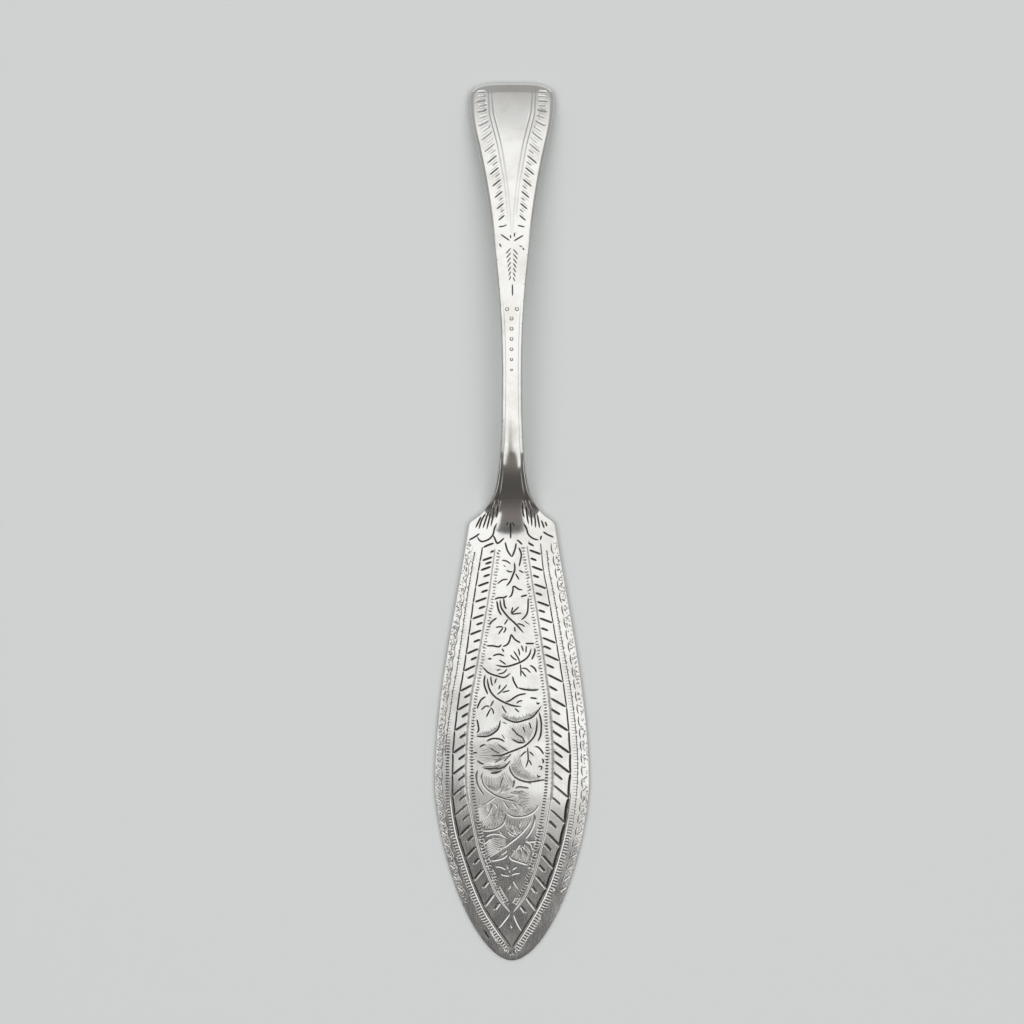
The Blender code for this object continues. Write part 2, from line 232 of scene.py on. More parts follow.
# The ivy leaves' veins
IVY_VEINS = (
    ((-2.3, -8.4), (-1.2, -8.6), (-0.2, -9.3)),
    ((-1.3, -10.5), (-0.6, -10.9), (0.2, -10.9)),
    ((1.4, -10.5), (2.6, -11.2)),
    ((0.7, -11.2), (1.6, -12.7)),
    ((-3.2, -13.6), (-2.1, -12.7), (-0.8, -12.5)),
    ((-0.2, -20.1), (0.2, -18.4)),
    ((-0.2, -20.1), (0.8, -19.1), (1.6, -18.4)),
    ((-0.2, -20.1), (2.2, -19.8)),
    ((1, -22.2), (1.8, -22.2), (2.9, -22.8)),
    ((0.5, -22.7), (0.7, -24)),
    ((-0.8, -21), (-1.7, -22.4)),
    ((-3.6, -23), (-2.9, -22.8), (-1.8, -22.8)),
    ((-1.8, -22.8), (-3, -24.5)),
    ((-1.7, -22.8), (-1.3, -23.2), (-1.9, -24.2)),
    ((-2.2, -27.4), (-1.7, -28.3)),
    ((2, -26.7), (2.5, -28.2)),
    ((3.1, -26.8), (3, -28.5)),
    ((1.3, -27.4), (1.6, -28.4), (1.6, -29.1)),
    ((0.3, -27.9), (1.3, -29.5), (1.7, -30.5)),
    ((-0.4, -28.7), (0.1, -29.4), (1.1, -30.1)),
    ((-2.8, -29.9), (-1.2, -31)),
    ((-3.3, -32.3), (-2.6, -31.9)),
    ((-3.1, -33), (-1.8, -32.7), (-1, -31.8)),
    ((1.8, -30.8), (1.9, -31.9), (1.9, -33.6)),
    ((2, -31.8), (3, -31.8), (4.1, -32.8)),
    ((2, -32.2), (3.1, -33.7)),
    ((-4.6, -33.4), (-4.5, -34.5), (-4.2, -35.7)),
    ((-3.3, -33.8), (-3.8, -35.1)),
    ((-2.5, -35.2), (-2.9, -36.4)),
    ((-1, -35.2), (-2.2, -36.6), (-3.3, -37.5)),
    ((-2.2, -37), (-0.4, -36.5)),
    ((0.9, -39.4), (1.5, -38.9), (2.4, -38.7)),
    ((0.5, -40.3), (1.6, -41.3)),
    ((-2.2, -39.7), (-1.7, -40.7), (-1.1, -41.5)),
    ((-3.9, -38.6), (-4.7, -40.1)),
    ((-6.7, -40.8), (-5.6, -39.9), (-4.7, -40.1)),
    ((-4.7, -40.1), (-4.1, -40.9), (-4, -41.8)),
    ((-4.6, -40.4), (-5.6, -42.4)),
    ((2.2, -44.3), (2.6, -44.9), (2.8, -45.8)),
    ((3.6, -43.3), (3.9, -44), (4.1, -44.9)),
    ((-3.1, -48.1), (-2.2, -48.8), (-0.8, -49.7)),
    ((-4.9, -48.9), (-3.9, -49.5), (-2.6, -50.2)),
    ((-2.2, -51), (-2.9, -51.6), (-3.8, -52.2)),
    ((-0.1, -50.2), (-0.9, -51), (-1.8, -51.9)),
    ((3.4, -48.7), (3.4, -49.6), (3.5, -51.1), (3.4, -52), (2.9, -53.3)),
    ((3.2, -49.6), (2.5, -50.1), (1.7, -51)),
    ((3.6, -49.7), (4.4, -50.3), (4.7, -50.8)),
    ((3.6, -51.4), (4.3, -52.8)),
    ((-1.9, -55.2), (-2.3, -56.4), (-2.7, -57.9)),
    ((-0.6, -56.8), (-1.8, -57.9), (-2.9, -58.9)),
    ((1.1, -60.6), (1.8, -60.1), (2.5, -59.8)),
    ((-1.3, -59.9), (-0.4, -59.7), (0.5, -59.5)),
    ((1.1, -61.2), (2.4, -61.8)),
    ((-0.1, -60.7), (1, -61.9), (1.9, -62.9)),
    ((-1.9, -60.2), (-1.2, -61.5), (-0.1, -62.6)),
    ((-3.6, -59.5), (-4.4, -60.2), (-6.2, -61.5)),
    ((-4.5, -60.8), (-4.5, -62), (-5, -63.2), (-5.9, -64.4)),
    ((-3.9, -60.8), (-3.1, -61.9), (-3.2, -62.9), (-3.6, -63.9)),
    ((-2.1, -62.4), (-2.2, -63.4), (-1.9, -64)),
    ((0.1, -65.1), (0.3, -66.2), (1.2, -68)),
    ((-0.9, -66.8), (-0.3, -67.6), (0.9, -68.1)),
    ((1.7, -64.8), (1.9, -66)),
    ((-2.8, -66.8), (-1.8, -67.9)),
    ((-2.5, -72.1), (-1.6, -71.6), (-1, -70.9)),
    ((-3.6, -71.3), (-2.5, -70.9)),
    ((1.9, -69.6), (1.2, -70.6), (0.6, -71.4)),
    ((1.8, -70.1), (2.2, -71.2), (2.4, -72.2), (2.8, -72.8)),
    ((2.1, -70.1), (3.1, -71), (3.8, -72.1)),
    ((2.8, -69.1), (3.8, -69.5), (4.3, -70.1), (4.4, -71)),
    ((-3.7, -74.6), (-2.4, -74.7), (-1.2, -75.3)),
    ((-0.1, -75.4), (0.6, -74.9), (1.1, -74.6)),
    ((-2.5, -76.2), (-1.6, -76.5), (-0.4, -76.6)),
    ((-0.3, -76.5), (0.8, -76.1), (1.8, -76)),
    ((-1, -73.9), (-0.9, -75.2)),
    ((-0.5, -73.6), (-0.5, -76)),
    ((-0.3, -77), (-0.4, -78.8), (-1, -79.7)),
    ((0.2, -77.5), (0.8, -78.6), (1.5, -79.6)),
    ((5.7, -53.3), (5.9, -52.9), (6.4, -53), (6.4, -53.5), (6, -53.7)),
    ((5.5, -54.6), (5.6, -55.2), (6.3, -55.1)),
    ((5.3, -39), (5.5, -39.5), (6.1, -39.1)),
    ((-8.6, -50), (-7.4, -50)),
)
# Lighter strokes of the trail
IVY_FAINT = (
    ((-1.9, -9.4), (-1.3, -9.9)),
    ((2.5, -21.4), (3.9, -22.4)),
    ((-2.3, -45.9), (-1.5, -47.1)),
    ((-2.1, -43.3), (-1.5, -43.6), (-1, -43.7)),
    ((3.2, -56.3), (4.3, -56.8)),
)
# A nick near the tip
TIP_NICK = (((-6.2, -88.2), (-5.6, -89.3), (-4.9, -90.4)),)
# The small diamond where the two feather borders meet
TIP_DIAMOND = (
    ((-0.4, -84.8), (-1.6, -86.3), (-3, -88.1)),
    ((0.3, -84.8), (1.2, -87), (2.2, -88.7)),
    ((-0.2, -85.9), (-0.1, -88.1)),
)

# Lower edges of the leaves that are shaded with fine hatching, and how far the hatching reaches up
LEAF_SHADES = (
    (((1.3, -36.1), (2.6, -36.4), (4.2, -36.5), (5.8, -36.4)), 0.7),
    (((-2.3, -42.0), (-1.1, -42.8), (0.9, -43.4), (3.2, -42.8), (4.4, -42.3), (5.6, -41.0)), 1.7),
    (((-7.6, -46.5), (-5.2, -46.4), (-3.5, -45.4), (-2.8, -44.4)), 1.8),
    (((-0.1, -47.0), (0.6, -47.4), (1.5, -47.8), (2.8, -47.8)), 1.0),
    (((-6.4, -53.2), (-5.0, -53.5), (-3.5, -53.4), (-2.1, -53.3), (-1.0, -52.5)), 1.1),
    (((-0.6, -52.7), (-0.4, -53.8), (0.3, -55.0), (1.5, -55.8), (3.2, -56.3), (5.6, -56.1)), 2.6),
    (((-1.4, -62.7), (0.2, -63.7), (1.5, -63.9), (4.1, -63.2), (5.6, -61.8)), 2.4),
    (((-1.4, -63.2), (-1.7, -64.7), (-2.4, -65.9), (-3.6, -66.5), (-6.4, -66.8)), 2.4),
    (((-4.6, -73.4), (-3.0, -73.1), (-1.2, -72.3)), 1.4),
    (((-0.4, -72.4), (1.2, -73.4), (3.6, -74.3)), 1.4),
)

# Leaves shaded all over: how dark the strokes are, and the lines that they fan through, from first to last
LEAF_FANS = (
    (
        0.26,
        ((-1.9, -46.1), (0.7, -47.9)),
        ((-0.8, -44.3), (1.7, -47.9)),
        ((1.7, -43.8), (2.8, -47.4)),
        ((4.8, -44.3), (3.5, -47.7)),
    ),
    (
        0.26,
        ((-3.7, -47.7), (-0.1, -49.5)),
        ((-6.6, -49.2), (-1.9, -50.3)),
        ((-6.8, -51.7), (-1.9, -50.8)),
        ((-4.0, -52.8), (-0.4, -50.6)),
    ),
    (
        0.6,
        ((-6.2, -53.1), (-3.1, -52.8), (-0.6, -51.2)),
        ((-4.9, -54.2), (-2.4, -53.9), (-0.6, -52.6)),
    ),
    (
        0.5,
        ((-0.4, -52.0), (0.9, -54.6), (4.6, -56.1)),
        ((0.3, -50.9), (1.5, -54.0), (4.8, -55.7)),
        ((1.4, -49.9), (2.3, -53.2), (5.0, -55.2)),
    ),
    (
        0.45,
        ((-5.9, -54.6), (-5.7, -56.8), (-3.7, -58.6)),
        ((-3.7, -55.3), (-3.5, -57.1), (-3.1, -58.7)),
        ((-1.2, -54.0), (-1.3, -56.4), (-2.6, -58.7)),
        ((0.4, -56.2), (0.1, -57.5), (-2.1, -58.7)),
    ),
    (
        0.42,
        ((0.3, -58.2), (-1.0, -59.0)),
        ((3.4, -58.4), (0.7, -59.3)),
        ((3.7, -61.6), (1.0, -60.8)),
        ((2.6, -63.4), (0.5, -61.8)),
        ((-0.6, -63.1), (-1.2, -61.8)),
    ),
    (
        0.42,
        ((-7.3, -61.6), (-4.9, -60.7)),
        ((-7.1, -64.3), (-5.1, -61.8)),
        ((-5.5, -66.3), (-4.6, -62.5)),
        ((-3.1, -66.1), (-3.7, -62.5)),
        ((-1.8, -64.3), (-3.0, -61.3)),
    ),
    (
        0.42,
        ((-1.3, -63.6), (-1.2, -65.8), (0.5, -67.8)),
        ((0.5, -64.3), (0.7, -66.1), (1.1, -67.8)),
        ((2.5, -64.2), (2.3, -65.8), (1.6, -67.6)),
        ((4.2, -63.6), (3.5, -65.6), (2.1, -67.2)),
    ),
    (
        0.42,
        ((-5.5, -69.6), (-3.7, -68.4), (-1.3, -68.8)),
        ((-5.7, -70.8), (-3.5, -69.6), (-1.2, -69.6)),
        ((-4.9, -72.6), (-3.0, -71.4), (-0.8, -69.8)),
    ),
    (
        0.45,
        ((-0.3, -72.5), (1.6, -70.3)),
        ((1.6, -73.4), (1.8, -70.8)),
        ((3.4, -73.7), (2.5, -70.8)),
        ((4.1, -71.6), (2.6, -69.9)),
    ),
)


class Border(NamedTuple):
    """The border on one side of the blade, from the heel to the tip.

    A line's points are (distance from the centre, y), and sizes that change are tables of (y, size).
    """

    side: float  # -1 on the left and 1 on the right
    groove: tuple  # the groove round the panel
    groove_dark: float
    line: tuple  # the line that the feather strokes spring from
    line_width: tuple
    feet: tuple  # y of each long feather stroke's foot on the line
    foot_gap: float  # between the line and the first strokes' feet
    ladder_in: tuple  # both ends of the ladder's rungs, outward from the line
    ladder_out: tuple
    ladder_full: float  # y below which the rungs turn into full cuts
    flecks: tuple  # the stray cuts' nearest and farthest place from the rim, and their number

    @property
    def mirror(self):
        """What puts a point (distance from the centre, y) on this side."""
        return np.array([self.side, 1.0])


LEFT_BORDER = Border(
    side=-1.0,
    groove=(
        (3.6, -5.6), (4.2, -9.9), (4.95, -15.7), (5.9, -21.5), (6.9, -27.3), (7.8, -32.5),
        (8.8, -38.0), (9.5, -43.8), (9.9, -51.0), (9.9, -56.0), (9.6, -59.5), (8.9, -63.0),
        (8.0, -67.4), (6.9, -72.0), (5.2, -76.5), (3.1, -81.1), (0.35, -84.6),
    ),
    groove_dark=0.48,
    line=(
        (6.4, -5.6), (7.3, -10.8), (8.4, -17.6), (9.35, -24.6), (10.5, -32.4), (11.4, -37.4),
        (12.4, -45.3), (12.8, -50.2), (12.9, -54.8), (12.85, -59.5), (12.4, -63.7), (11.5, -68.3),
        (10.05, -72.9), (8.4, -77.9), (6.0, -83.5), (3.05, -88.3), (0.0, -92.4),
    ),
    line_width=((-92, 0.46), (-60, 0.46), (-40, 0.4), (-5, 0.34)),
    feet=(
        -8.7, -10.8, -14.2, -17.6, -21.2, -24.6, -28.7, -32.4, -36.8, -40.9,
        -45.3, -50.2, -54.8, -59.4, -63.7, -68.3, -72.9, -77.9, -83.5,
    ),
    foot_gap=0.5,
    ladder_in=((-92, 0.6), (-60, 0.6), (-50, 0.5), (-45, 0.75), (-41, 1.1), (-32, 1.25), (-8, 1.3)),
    ladder_out=((-92, 1.35), (-80, 1.55), (-65, 1.6), (-50, 1.6), (-40, 1.45), (-8, 1.45)),
    ladder_full=-43.0,
    flecks=(0.35, 1.55, 480),
)
RIGHT_BORDER = Border(
    side=1.0,
    groove=(
        (3.2, -5.0), (3.75, -8.9), (4.6, -14.7), (5.4, -19.5), (6.2, -25.0), (7.2, -32.0),
        (8.1, -39.0), (8.6, -46.0), (8.8, -52.0), (8.6, -58.3), (7.9, -62.9), (7.1, -67.4),
        (6.0, -72.0), (4.7, -76.5), (2.75, -81.1), (0.25, -84.6),
    ),
    groove_dark=0.5,
    line=(
        (6.2, -4.8), (6.85, -10.7), (7.6, -14.6), (8.9, -21.9), (10.1, -29.0), (11.1, -35.0),
        (11.8, -40.2), (12.3, -45.4), (12.65, -51.5), (12.55, -56.0), (12.2, -60.0), (11.5, -65.3),
        (10.4, -70.4), (9.0, -75.1), (7.4, -79.5), (5.1, -84.1), (2.5, -88.5), (0.0, -92.4),
    ),
    line_width=((-92, 0.46), (-80, 0.66), (-65, 0.8), (-56, 0.6), (-40, 0.34), (-5, 0.26)),
    feet=(
        -7.2, -10.7, -14.6, -18.4, -22.0, -26.4, -30.2, -34.8, -40.2, -45.4,
        -50.2, -54.5, -59.8, -65.3, -70.4, -75.1, -79.5, -84.1,
    ),
    foot_gap=0.1,
    ladder_in=((-92, 0.6), (-62, 0.6), (-55, 0.45), (-40, 0.3), (-27, 0.35), (-20, 0.85), (-8, 0.9)),
    ladder_out=((-92, 1.4), (-80, 1.6), (-65, 1.65), (-45, 1.5), (-27, 1.2), (-8, 1.15)),
    ladder_full=-60.0,
    flecks=(0.3, 1.3, 280),
)
BORDERS = (LEFT_BORDER, RIGHT_BORDER)
# The first strokes of the feather borders, at the heel
FEATHER_STARTS = (
    ((-6.3, -5.7), (-5.0, -5.1), (-3.8, -4.7)),
    ((-4.7, -6.7), (-3.9, -6.4)),
    ((3.4, -4.6), (4.8, -5.4)),
)
# The ladders' last rungs, beside the point where the two lines meet: their starts and their fall
LAST_RUNGS = ((0.25, -92.9), (0.75, -92.4))
LAST_FALLS = ((0.1, -1.0), (0.3, -0.95))

# Sizes that change along both borders, as tables of (y, size)
BEAD_LENGTH = (
    (-84, 0.2), (-76, 0.3), (-69, 0.6), (-60, 0.95), (-54, 0.9), (-47, 0.4), (-30, 0.22), (-5, 0.16),
)
GROOVE_WIDTH = ((-60, 1.0), (-40, 0.95), (-25, 0.7), (-5, 0.5))
# Sizes and darkness that ease from one (y, value) to another along the blade
TRAIL_SWELL = ((-52, 1.0), (-60, 1.2))
TRAIL_FADE = ((-52, 1.0), (-60, 0.1))
FEATHER_SWELL = ((-30, 0.84), (-50, 1.0))
FEATHER_FADE = ((-70, 1.0), (-84, 0.3))
LINE_FADE = ((-70, 1.0), (-85, 0.6))
BEAD_SWELL = ((-25, 0.3), (-50, 0.42))
BEAD_DARK = ((-62, 0.6), (-70, 0.8))
RUNG_SWELL = ((-62, 0.0), (-72, 0.12))
WRIGGLE_SWING = ((-8, 0.25), (-38, 0.42))
# The same along the handle
STROKE_TILT = ((83, 0.86), (90, 0.08))
STROKE_MARGIN = ((70, 1.6), (85, 1.3))
STROKE_FADE = ((76, 0.6), (86, 0.2))
SHORT_SHARE = ((80, 0.6), (88, 0.85))

# Rise of walls that throw the light back even where the blade's own surface is in the dark, and the
# stretch of the blade, by y, over which the walls turn to it
BRIGHT_SLOPE = 0.42
BRIGHT_START = -45.0
BRIGHT_LENGTH = 20.0
# Where the bright lines past the belly start, their width, and how far outside the feather line they run
BRIGHT_LINES = -58.0
BRIGHT_WIDTH = 0.44
BRIGHT_OFFSET = 0.38
# The groove: where its wide part ends, the step along it, and how much darker its narrow part is
GROOVE_END = -61.0
GROOVE_STEP = 0.6
NARROW_DARKER = 0.15
# The beads: where they end, how far inside the groove they sit, and the nearest they come to the centre
BEADS_END = -82.6
BEAD_INSET = 0.85
BEAD_CLEAR = 0.1
# Feather strokes: where they begin to grow steeper, the step past the last foot, the share of a long stroke
# at which a short one starts, the gap to the groove, and the tries in which their reach is found
TURN_START = -22.0
LAST_STEP = 4.2
SHORT_START = 0.44
GROOVE_GAP = 0.25
REACH_TRIES = 16
# The dark cuts above the feather strokes past the belly: where they start, and how far above they run
SHADE_START = -66.0
SHADE_OFFSET = 0.32
# The feather line's stretches between two feet: points in each, the gap at each end, how hollow they are,
# and how much more so for each millimetre that the line is wider than HOLLOW_WIDTH
STRETCH_POINTS = 9
STRETCH_GAP = 0.12
LEAST_HOLLOW = 0.06
HOLLOW_WIDTH = 0.4
HOLLOW_GROWTH = 0.5
# The ladder's rungs, as mere touches and as full cuts, and the stretch over which they turn
RUNG_WIDTHS = (0.2, 0.44)
RUNG_SLOPES = (0.35, 1.0)
RUNG_DARKS = (0.25, 0.4)
RUNG_TURN = 8.0
# Where the rim's borders start at the heel and end near the tip
RIM_START = -4.4
WRIGGLE_END = -83.0
SCALLOP_END = -81.0
DASH_SPAN = (-55.0, -80.0)
FLECK_SPAN = (-80.0, -4.5)
RIM_SAMPLES = 400
# The wriggle cut: how far inside the rim, the share of each stroke that is cut, and the waving line beside
# it, by its distance, its swing and its turn from step to step
WRIGGLE_INSET = 0.95
WRIGGLE_SHARE = 0.7
WAVE_INSET = 0.62
WAVE_SWING = 0.12
WAVE_TURN = 1.4
# The scallops: how far inside the rim, their height, the steps in each, and the share that is cut
SCALLOP_INSET = 1.45
SCALLOP_RISE = 0.24
SCALLOP_STEPS = 4
SCALLOP_SHARE = 0.94
# The dashes: how far inside the rim both their ends lie, and their fall along the blade
DASH_INSETS = (0.4, 1.4)
DASH_FALL = 1.0
# Hatching: how far the strokes lean, and the sine's angle at which it starts
HATCH_LEAN = (0.25, 0.0)
HATCH_TAPER = 0.5
# Ranges for random draws, as shares of a stroke or, for the flecks, half their length, and the seeds
FLECK_HALF = (0.08, 0.2)
FAN_RAGGED = (-0.12, 0.06)
HATCH_LENGTHS = (0.55, 1.0)
FINE_START = (0.0, 0.25)
FINE_END = (0.0, 0.4)
BLADE_SEED = 7
HANDLE_SEED = 11

# The double line round the plain panel on the handle, from the end to its point
HANDLE_INNER_LINE = (
    (4.4, 93.9), (4.25, 91.1), (3.95, 88.0), (3.35, 85.5), (2.75, 83.0),
    (2.15, 80.2), (1.55, 76.4), (0.95, 71.8), (0.45, 66.4), (0.1, 60.2),
)
HANDLE_OUTER_LINE = (
    (5.15, 93.9), (5.0, 91.1), (4.8, 88.0), (4.25, 85.5), (3.6, 83.0),
    (2.95, 80.2), (2.3, 76.4), (1.55, 71.8), (1.05, 66.4), (1.0, 63.3),
)
# The handle's strokes: the first and the last along it, and how their pitch grows over the first few
STROKES_TOP = 93.6
STROKES_END = 64.2
MOST_STROKES = 30
PITCH_GROWTH = ((0, 0.37), (10, 0.5))
# Their gap to the panel's line, the least width of their band, and how much a slanted one is shortened
STROKE_GAP = 0.5
LEAST_BAND = 0.6
TILT_SHORTENING = 0.4
# Widths of the lighter strokes, as shares of a long stroke's
SHORT_WIDTH = 0.75
EAR_WIDTH = 0.75
STAR_WIDTH = 0.9
# The wheat ear: its pairs of leaves, the first one's foot, how much one side lags behind the other, and a
# leaf's reach out and down, each with its change from pair to pair
EAR_PAIRS = 7
EAR_FOOT = (0.2, 57.9)
EAR_STAGGER = 0.12
EAR_LEAF = ((1.15, -0.12), (-1.35, 0.05))
# The line along each side of the stem
STEM_LINE = (12.0, 47.0)
STEM_POINTS = 60
# Punched rings on the stem: a pair, a row's first ring, pitch and number, and all the rings' shares of the
# full size
RING_PAIR = ((-1.05, 44.9), (1.05, 44.9))
RING_ROW = (-0.1, 42.9)
RING_PITCH = 2.17
RING_COUNT = 6
RING_POINTS = 17
RING_SHARES = (1.0, 1.0, 0.95, 0.95, 0.9, 0.85, 0.75, 0.6)
# Polishing streaks up the sides of the neck, on the blade's heel and on the handle: their share of half the
# width, and the y between which they run
HEEL_STREAKS = ((0.5, 2.0, 4.6), (0.62, 1.6, 4.6), (0.78, 2.2, 4.6))
NECK_STREAKS = ((0.64, 5.6, 11.2), (0.86, 5.6, 13.6))
STREAK_POINTS = 24
# The star below the panel's point, and the wheat ear's stem
HANDLE_STAR = (
    ((-3.0, 62.6), (-2.2, 62.6), (-1.0, 63.0)),
    ((1.05, 62.9), (1.9, 62.7), (2.8, 62.5)),
    ((-2.5, 61.0), (-0.45, 59.5)),
    ((2.55, 60.8), (0.3, 59.4)),
    ((-0.3, 60.8), (-0.3, 60.0)),
    ((0.55, 61.3), (0.5, 60.3)),
    ((1.6, 58.5), (2.0, 58.3)),
    ((2.2, 58.0), (2.65, 57.5)),
    ((-2.75, 59.0), (-2.2, 58.1)),
    ((0.1, 50.3), (0.1, 47.6)),
)


def length(name, description, millimetres):
    """A size in metres whose default is given in millimetres."""
    return bpy.props.FloatProperty(
        name=name,
        description=description,
        default=millimetres * MM,
        min=0.0,
        precision=5,
        subtype="DISTANCE",
        unit="LENGTH",
    )


def number(name, description, value):
    """A plain share, slope or brightness."""
    return bpy.props.FloatProperty(name=name, description=description, default=value, min=0.0)


def colour(name, description, value):
    """A linear colour."""
    return bpy.props.FloatVectorProperty(
        name=name, description=description, default=value, size=3, min=0.0, max=1.0, subtype="COLOR"
    )


class KnifeSizes(bpy.types.PropertyGroup):
    """The knife's plain form: plan view, side view, cross section and the soldered lap"""

    blade_length: length("Blade length", "From the shoulders to the tip", -BLADE_LOW.y / MM)
    blade_width: length("Blade width", "Widest, at the belly", (BLADE_HIGH.x - BLADE_LOW.x) / MM)
    belly_distance: length("Belly", "From the shoulders to the widest place", 57.0)
    side_slope: number("Side slope", "How the blade's sides leave the shoulders", 0.15)
    tip_fullness: number("Tip fullness", "How late the blade narrows towards its tip", 1.52)
    tip_roundness: number("Tip roundness", "How blunt the tip is", 0.55)
    shoulder_width: length("Shoulder width", "Width where the neck meets the blade", 18.5)
    shoulder_rounding: length("Shoulder rounding", "Reach of the rounded shoulder corners", 1.4)
    stem_width: length("Stem width", "Narrowest, at the waist", 4.4)
    waist_distance: length("Waist", "From the shoulders to the narrowest place", 31.0)
    neck_flare: number("Neck flare", "How fast the neck narrows behind the shoulders", 7.5)
    handle_length: length("Handle length", "From the shoulders to the end", HANDLE_HIGH.y / MM)
    handle_end_width: length("Handle end width", "Width near the squared end", 18.4)
    flare_reach: length("Handle flare", "From the waist to where the handle is fully open", 56.3)
    flare_rounding: length("Flare rounding", "How softly the flare turns parallel", 1.2)
    corner_length: length("End corners", "Length of the rounded corners at the end", 5.0)
    end_squareness: number("End squareness", "How square the end is", 3.6)
    neck_rise_start: length("Rise start", "How far on the blade the neck starts to rise", 4.0)
    neck_rise_length: length("Rise length", "How long the neck takes to rise", 18.5)
    shoulder_lag: length("Shoulder lag", "How much later the shoulders rise than the middle", 20.0)
    arch_distance: length("Arch", "From the shoulders to the highest place", 38.0)
    arch_height: length("Arch height", "Height of the handle's underside there", 7.4)
    heel_thickness: length("Heel thickness", "At the shoulders", 1.6)
    belly_thickness: length("Belly thickness", "At the belly", 1.35)
    tip_thickness: length("Tip thickness", "At the tip", 0.75)
    neck_thickness: length("Neck thickness", "At the thickest place of the neck", 3.1)
    neck_distance: length("Neck", "From the shoulders to the thickest place", 15.0)
    waist_thickness: length("Waist thickness", "At the waist", 3.0)
    end_thickness: length("End thickness", "At the end of the handle", 1.8)
    lip_length: length("Lip length", "Length of the turned-down end", 2.4)
    lip_drop: length("Lip drop", "How far the end turns down", 0.5)
    blade_dome: length("Blade dome", "Drop of the blade's top from the middle to the belly's edge", 0.35)
    stem_dome: length("Stem dome", "Drop of the stem's top from the middle to its edge", 0.34)
    handle_dome: length("Handle dome", "Drop of the handle's top from the middle to its edge", 0.24)
    blade_bevel_width: length("Blade bevel", "Width of the bevel round the blade", 0.7)
    blade_bevel_drop: length("Blade bevel drop", "Drop of the bevel round the blade", 0.02)
    handle_bevel_width: length("Handle bevel", "Width of the bevel round the handle", 0.85)
    stem_bevel_drop: length("Stem bevel drop", "Drop of the bevel along the stem", 0.14)
    handle_bevel_drop: length("Handle bevel drop", "Drop of the bevel round the handle's wide end", 0.54)
    blade_rounding: length("Blade rounding", "Radius of the blade's worn edge", 0.12)
    handle_rounding: length("Handle rounding", "Radius of the handle's worn edge", 0.35)
    unevenness: length("Unevenness", "Height of the hand-finished surface's slow waves", 0.018)
    lap_distance: length("Lap", "From the shoulders to where the handle lies on the blade", 5.0)
    lap_length: length("Lap length", "How far the blade's tongue reaches under the handle", 10.0)
    solder_thickness: length("Solder", "Thickness of the solder in the lap", 0.15)


class EngravingSizes(bpy.types.PropertyGroup):
    """The gravers' cuts: widths, pitches and the slope of their walls"""

    wall_slope: number("Wall slope", "Rise of a cut's walls for each unit across", 0.58)
    soft_slope: number("Soft wall slope", "Rise of a shallow groove's walls for each unit across", 0.2)
    stem_width: length("Stems", "Width of the trail's stems", 0.44)
    edge_width: length("Leaf edges", "Width of the leaf edges", 0.42)
    vein_width: length("Veins", "Width of the leaf veins", 0.36)
    faint_width: length("Faint strokes", "Width of the lightest strokes", 0.22)
    hatch_width: length("Hatching", "Width of the shading strokes", 0.15)
    hatch_pitch: length("Hatching pitch", "Step between shading strokes", 0.26)
    fan_width: length("Fans", "Width of the strokes that shade whole leaves", 0.3)
    fan_pitch: length("Fan pitch", "Step between the strokes that shade whole leaves", 0.4)
    fan_slope: number("Fan slope", "Rise of the walls of the strokes that shade whole leaves", 0.3)
    feather_width: length("Feathers", "Width of the feather strokes", 0.62)
    feather_angle: bpy.props.FloatProperty(
        name="Feather angle",
        description="Rise of the feather strokes near the heel",
        default=math.radians(20),
        subtype="ANGLE",
        unit="ROTATION",
    )
    feather_turn: bpy.props.FloatProperty(
        name="Feather turn",
        description="How much steeper the feather strokes get for each millimetre towards the tip",
        default=math.radians(0.54),
        subtype="ANGLE",
        unit="ROTATION",
    )
    ladder_pitch: length("Ladder pitch", "Step between the milled ladder's rungs", 0.63)
    bead_pitch: length("Bead pitch", "Step between the panel border's beads", 0.66)
    dot_width: length("Dots", "Width of the dots at the ends of the ladder's rungs", 0.32)
    wriggle_pitch: length("Wriggle pitch", "Half a wave of the wriggle-cut rim", 0.66)
    dash_pitch: length("Dash pitch", "Step between the bright strokes on the rim past the belly", 2.4)
    scallop_pitch: length("Scallop pitch", "Length of the scallops along the other rim", 2.7)
    stain_depth: length("Stain depth", "Depth at which a cut's bed is fully stained", 0.045)
    flute_width: length("Flutes", "Width of the heel's flutes", 0.42)
    handle_stroke_width: length("Handle strokes", "Width of the handle's feather strokes", 0.38)
    handle_feather_pitch: length("Handle pitch", "Step between the handle's long strokes", 2.64)
    streak_width: length("Neck streaks", "Width of the polishing streaks on the neck", 0.3)
    punch_width: length("Punched rings", "Width of the plain punched rings on the stem", 0.7)


class SilverFinish(bpy.types.PropertyGroup):
    """Colours and polish of the metal"""

    silver: colour("Silver", "Colour of the polished plate", (0.94, 0.935, 0.92))
    film: colour("Film", "Colour of the plate under a thin film of tarnish", (0.80, 0.78, 0.73))
    tarnish: colour("Tarnish", "Colour of the dark tarnish in the cuts", (0.13, 0.115, 0.095))
    solder: colour("Solder", "Colour of the solder line", (0.62, 0.60, 0.56))
    # The rim's darkening is partly tarnish and partly painted shade, for the dark edge line and the shadow
    # along the rim
    edge_stain: number("Edge tarnish", "How dark the tarnish along the rim is", 0.3)
    edge_reach: length("Edge reach", "How far in from the rim its tarnish reaches", 0.35)
    polish: number("Polish", "Roughness of the polished plate", 0.13)
    haze: number("Haze", "Roughness of the worn and hazy places", 0.21)


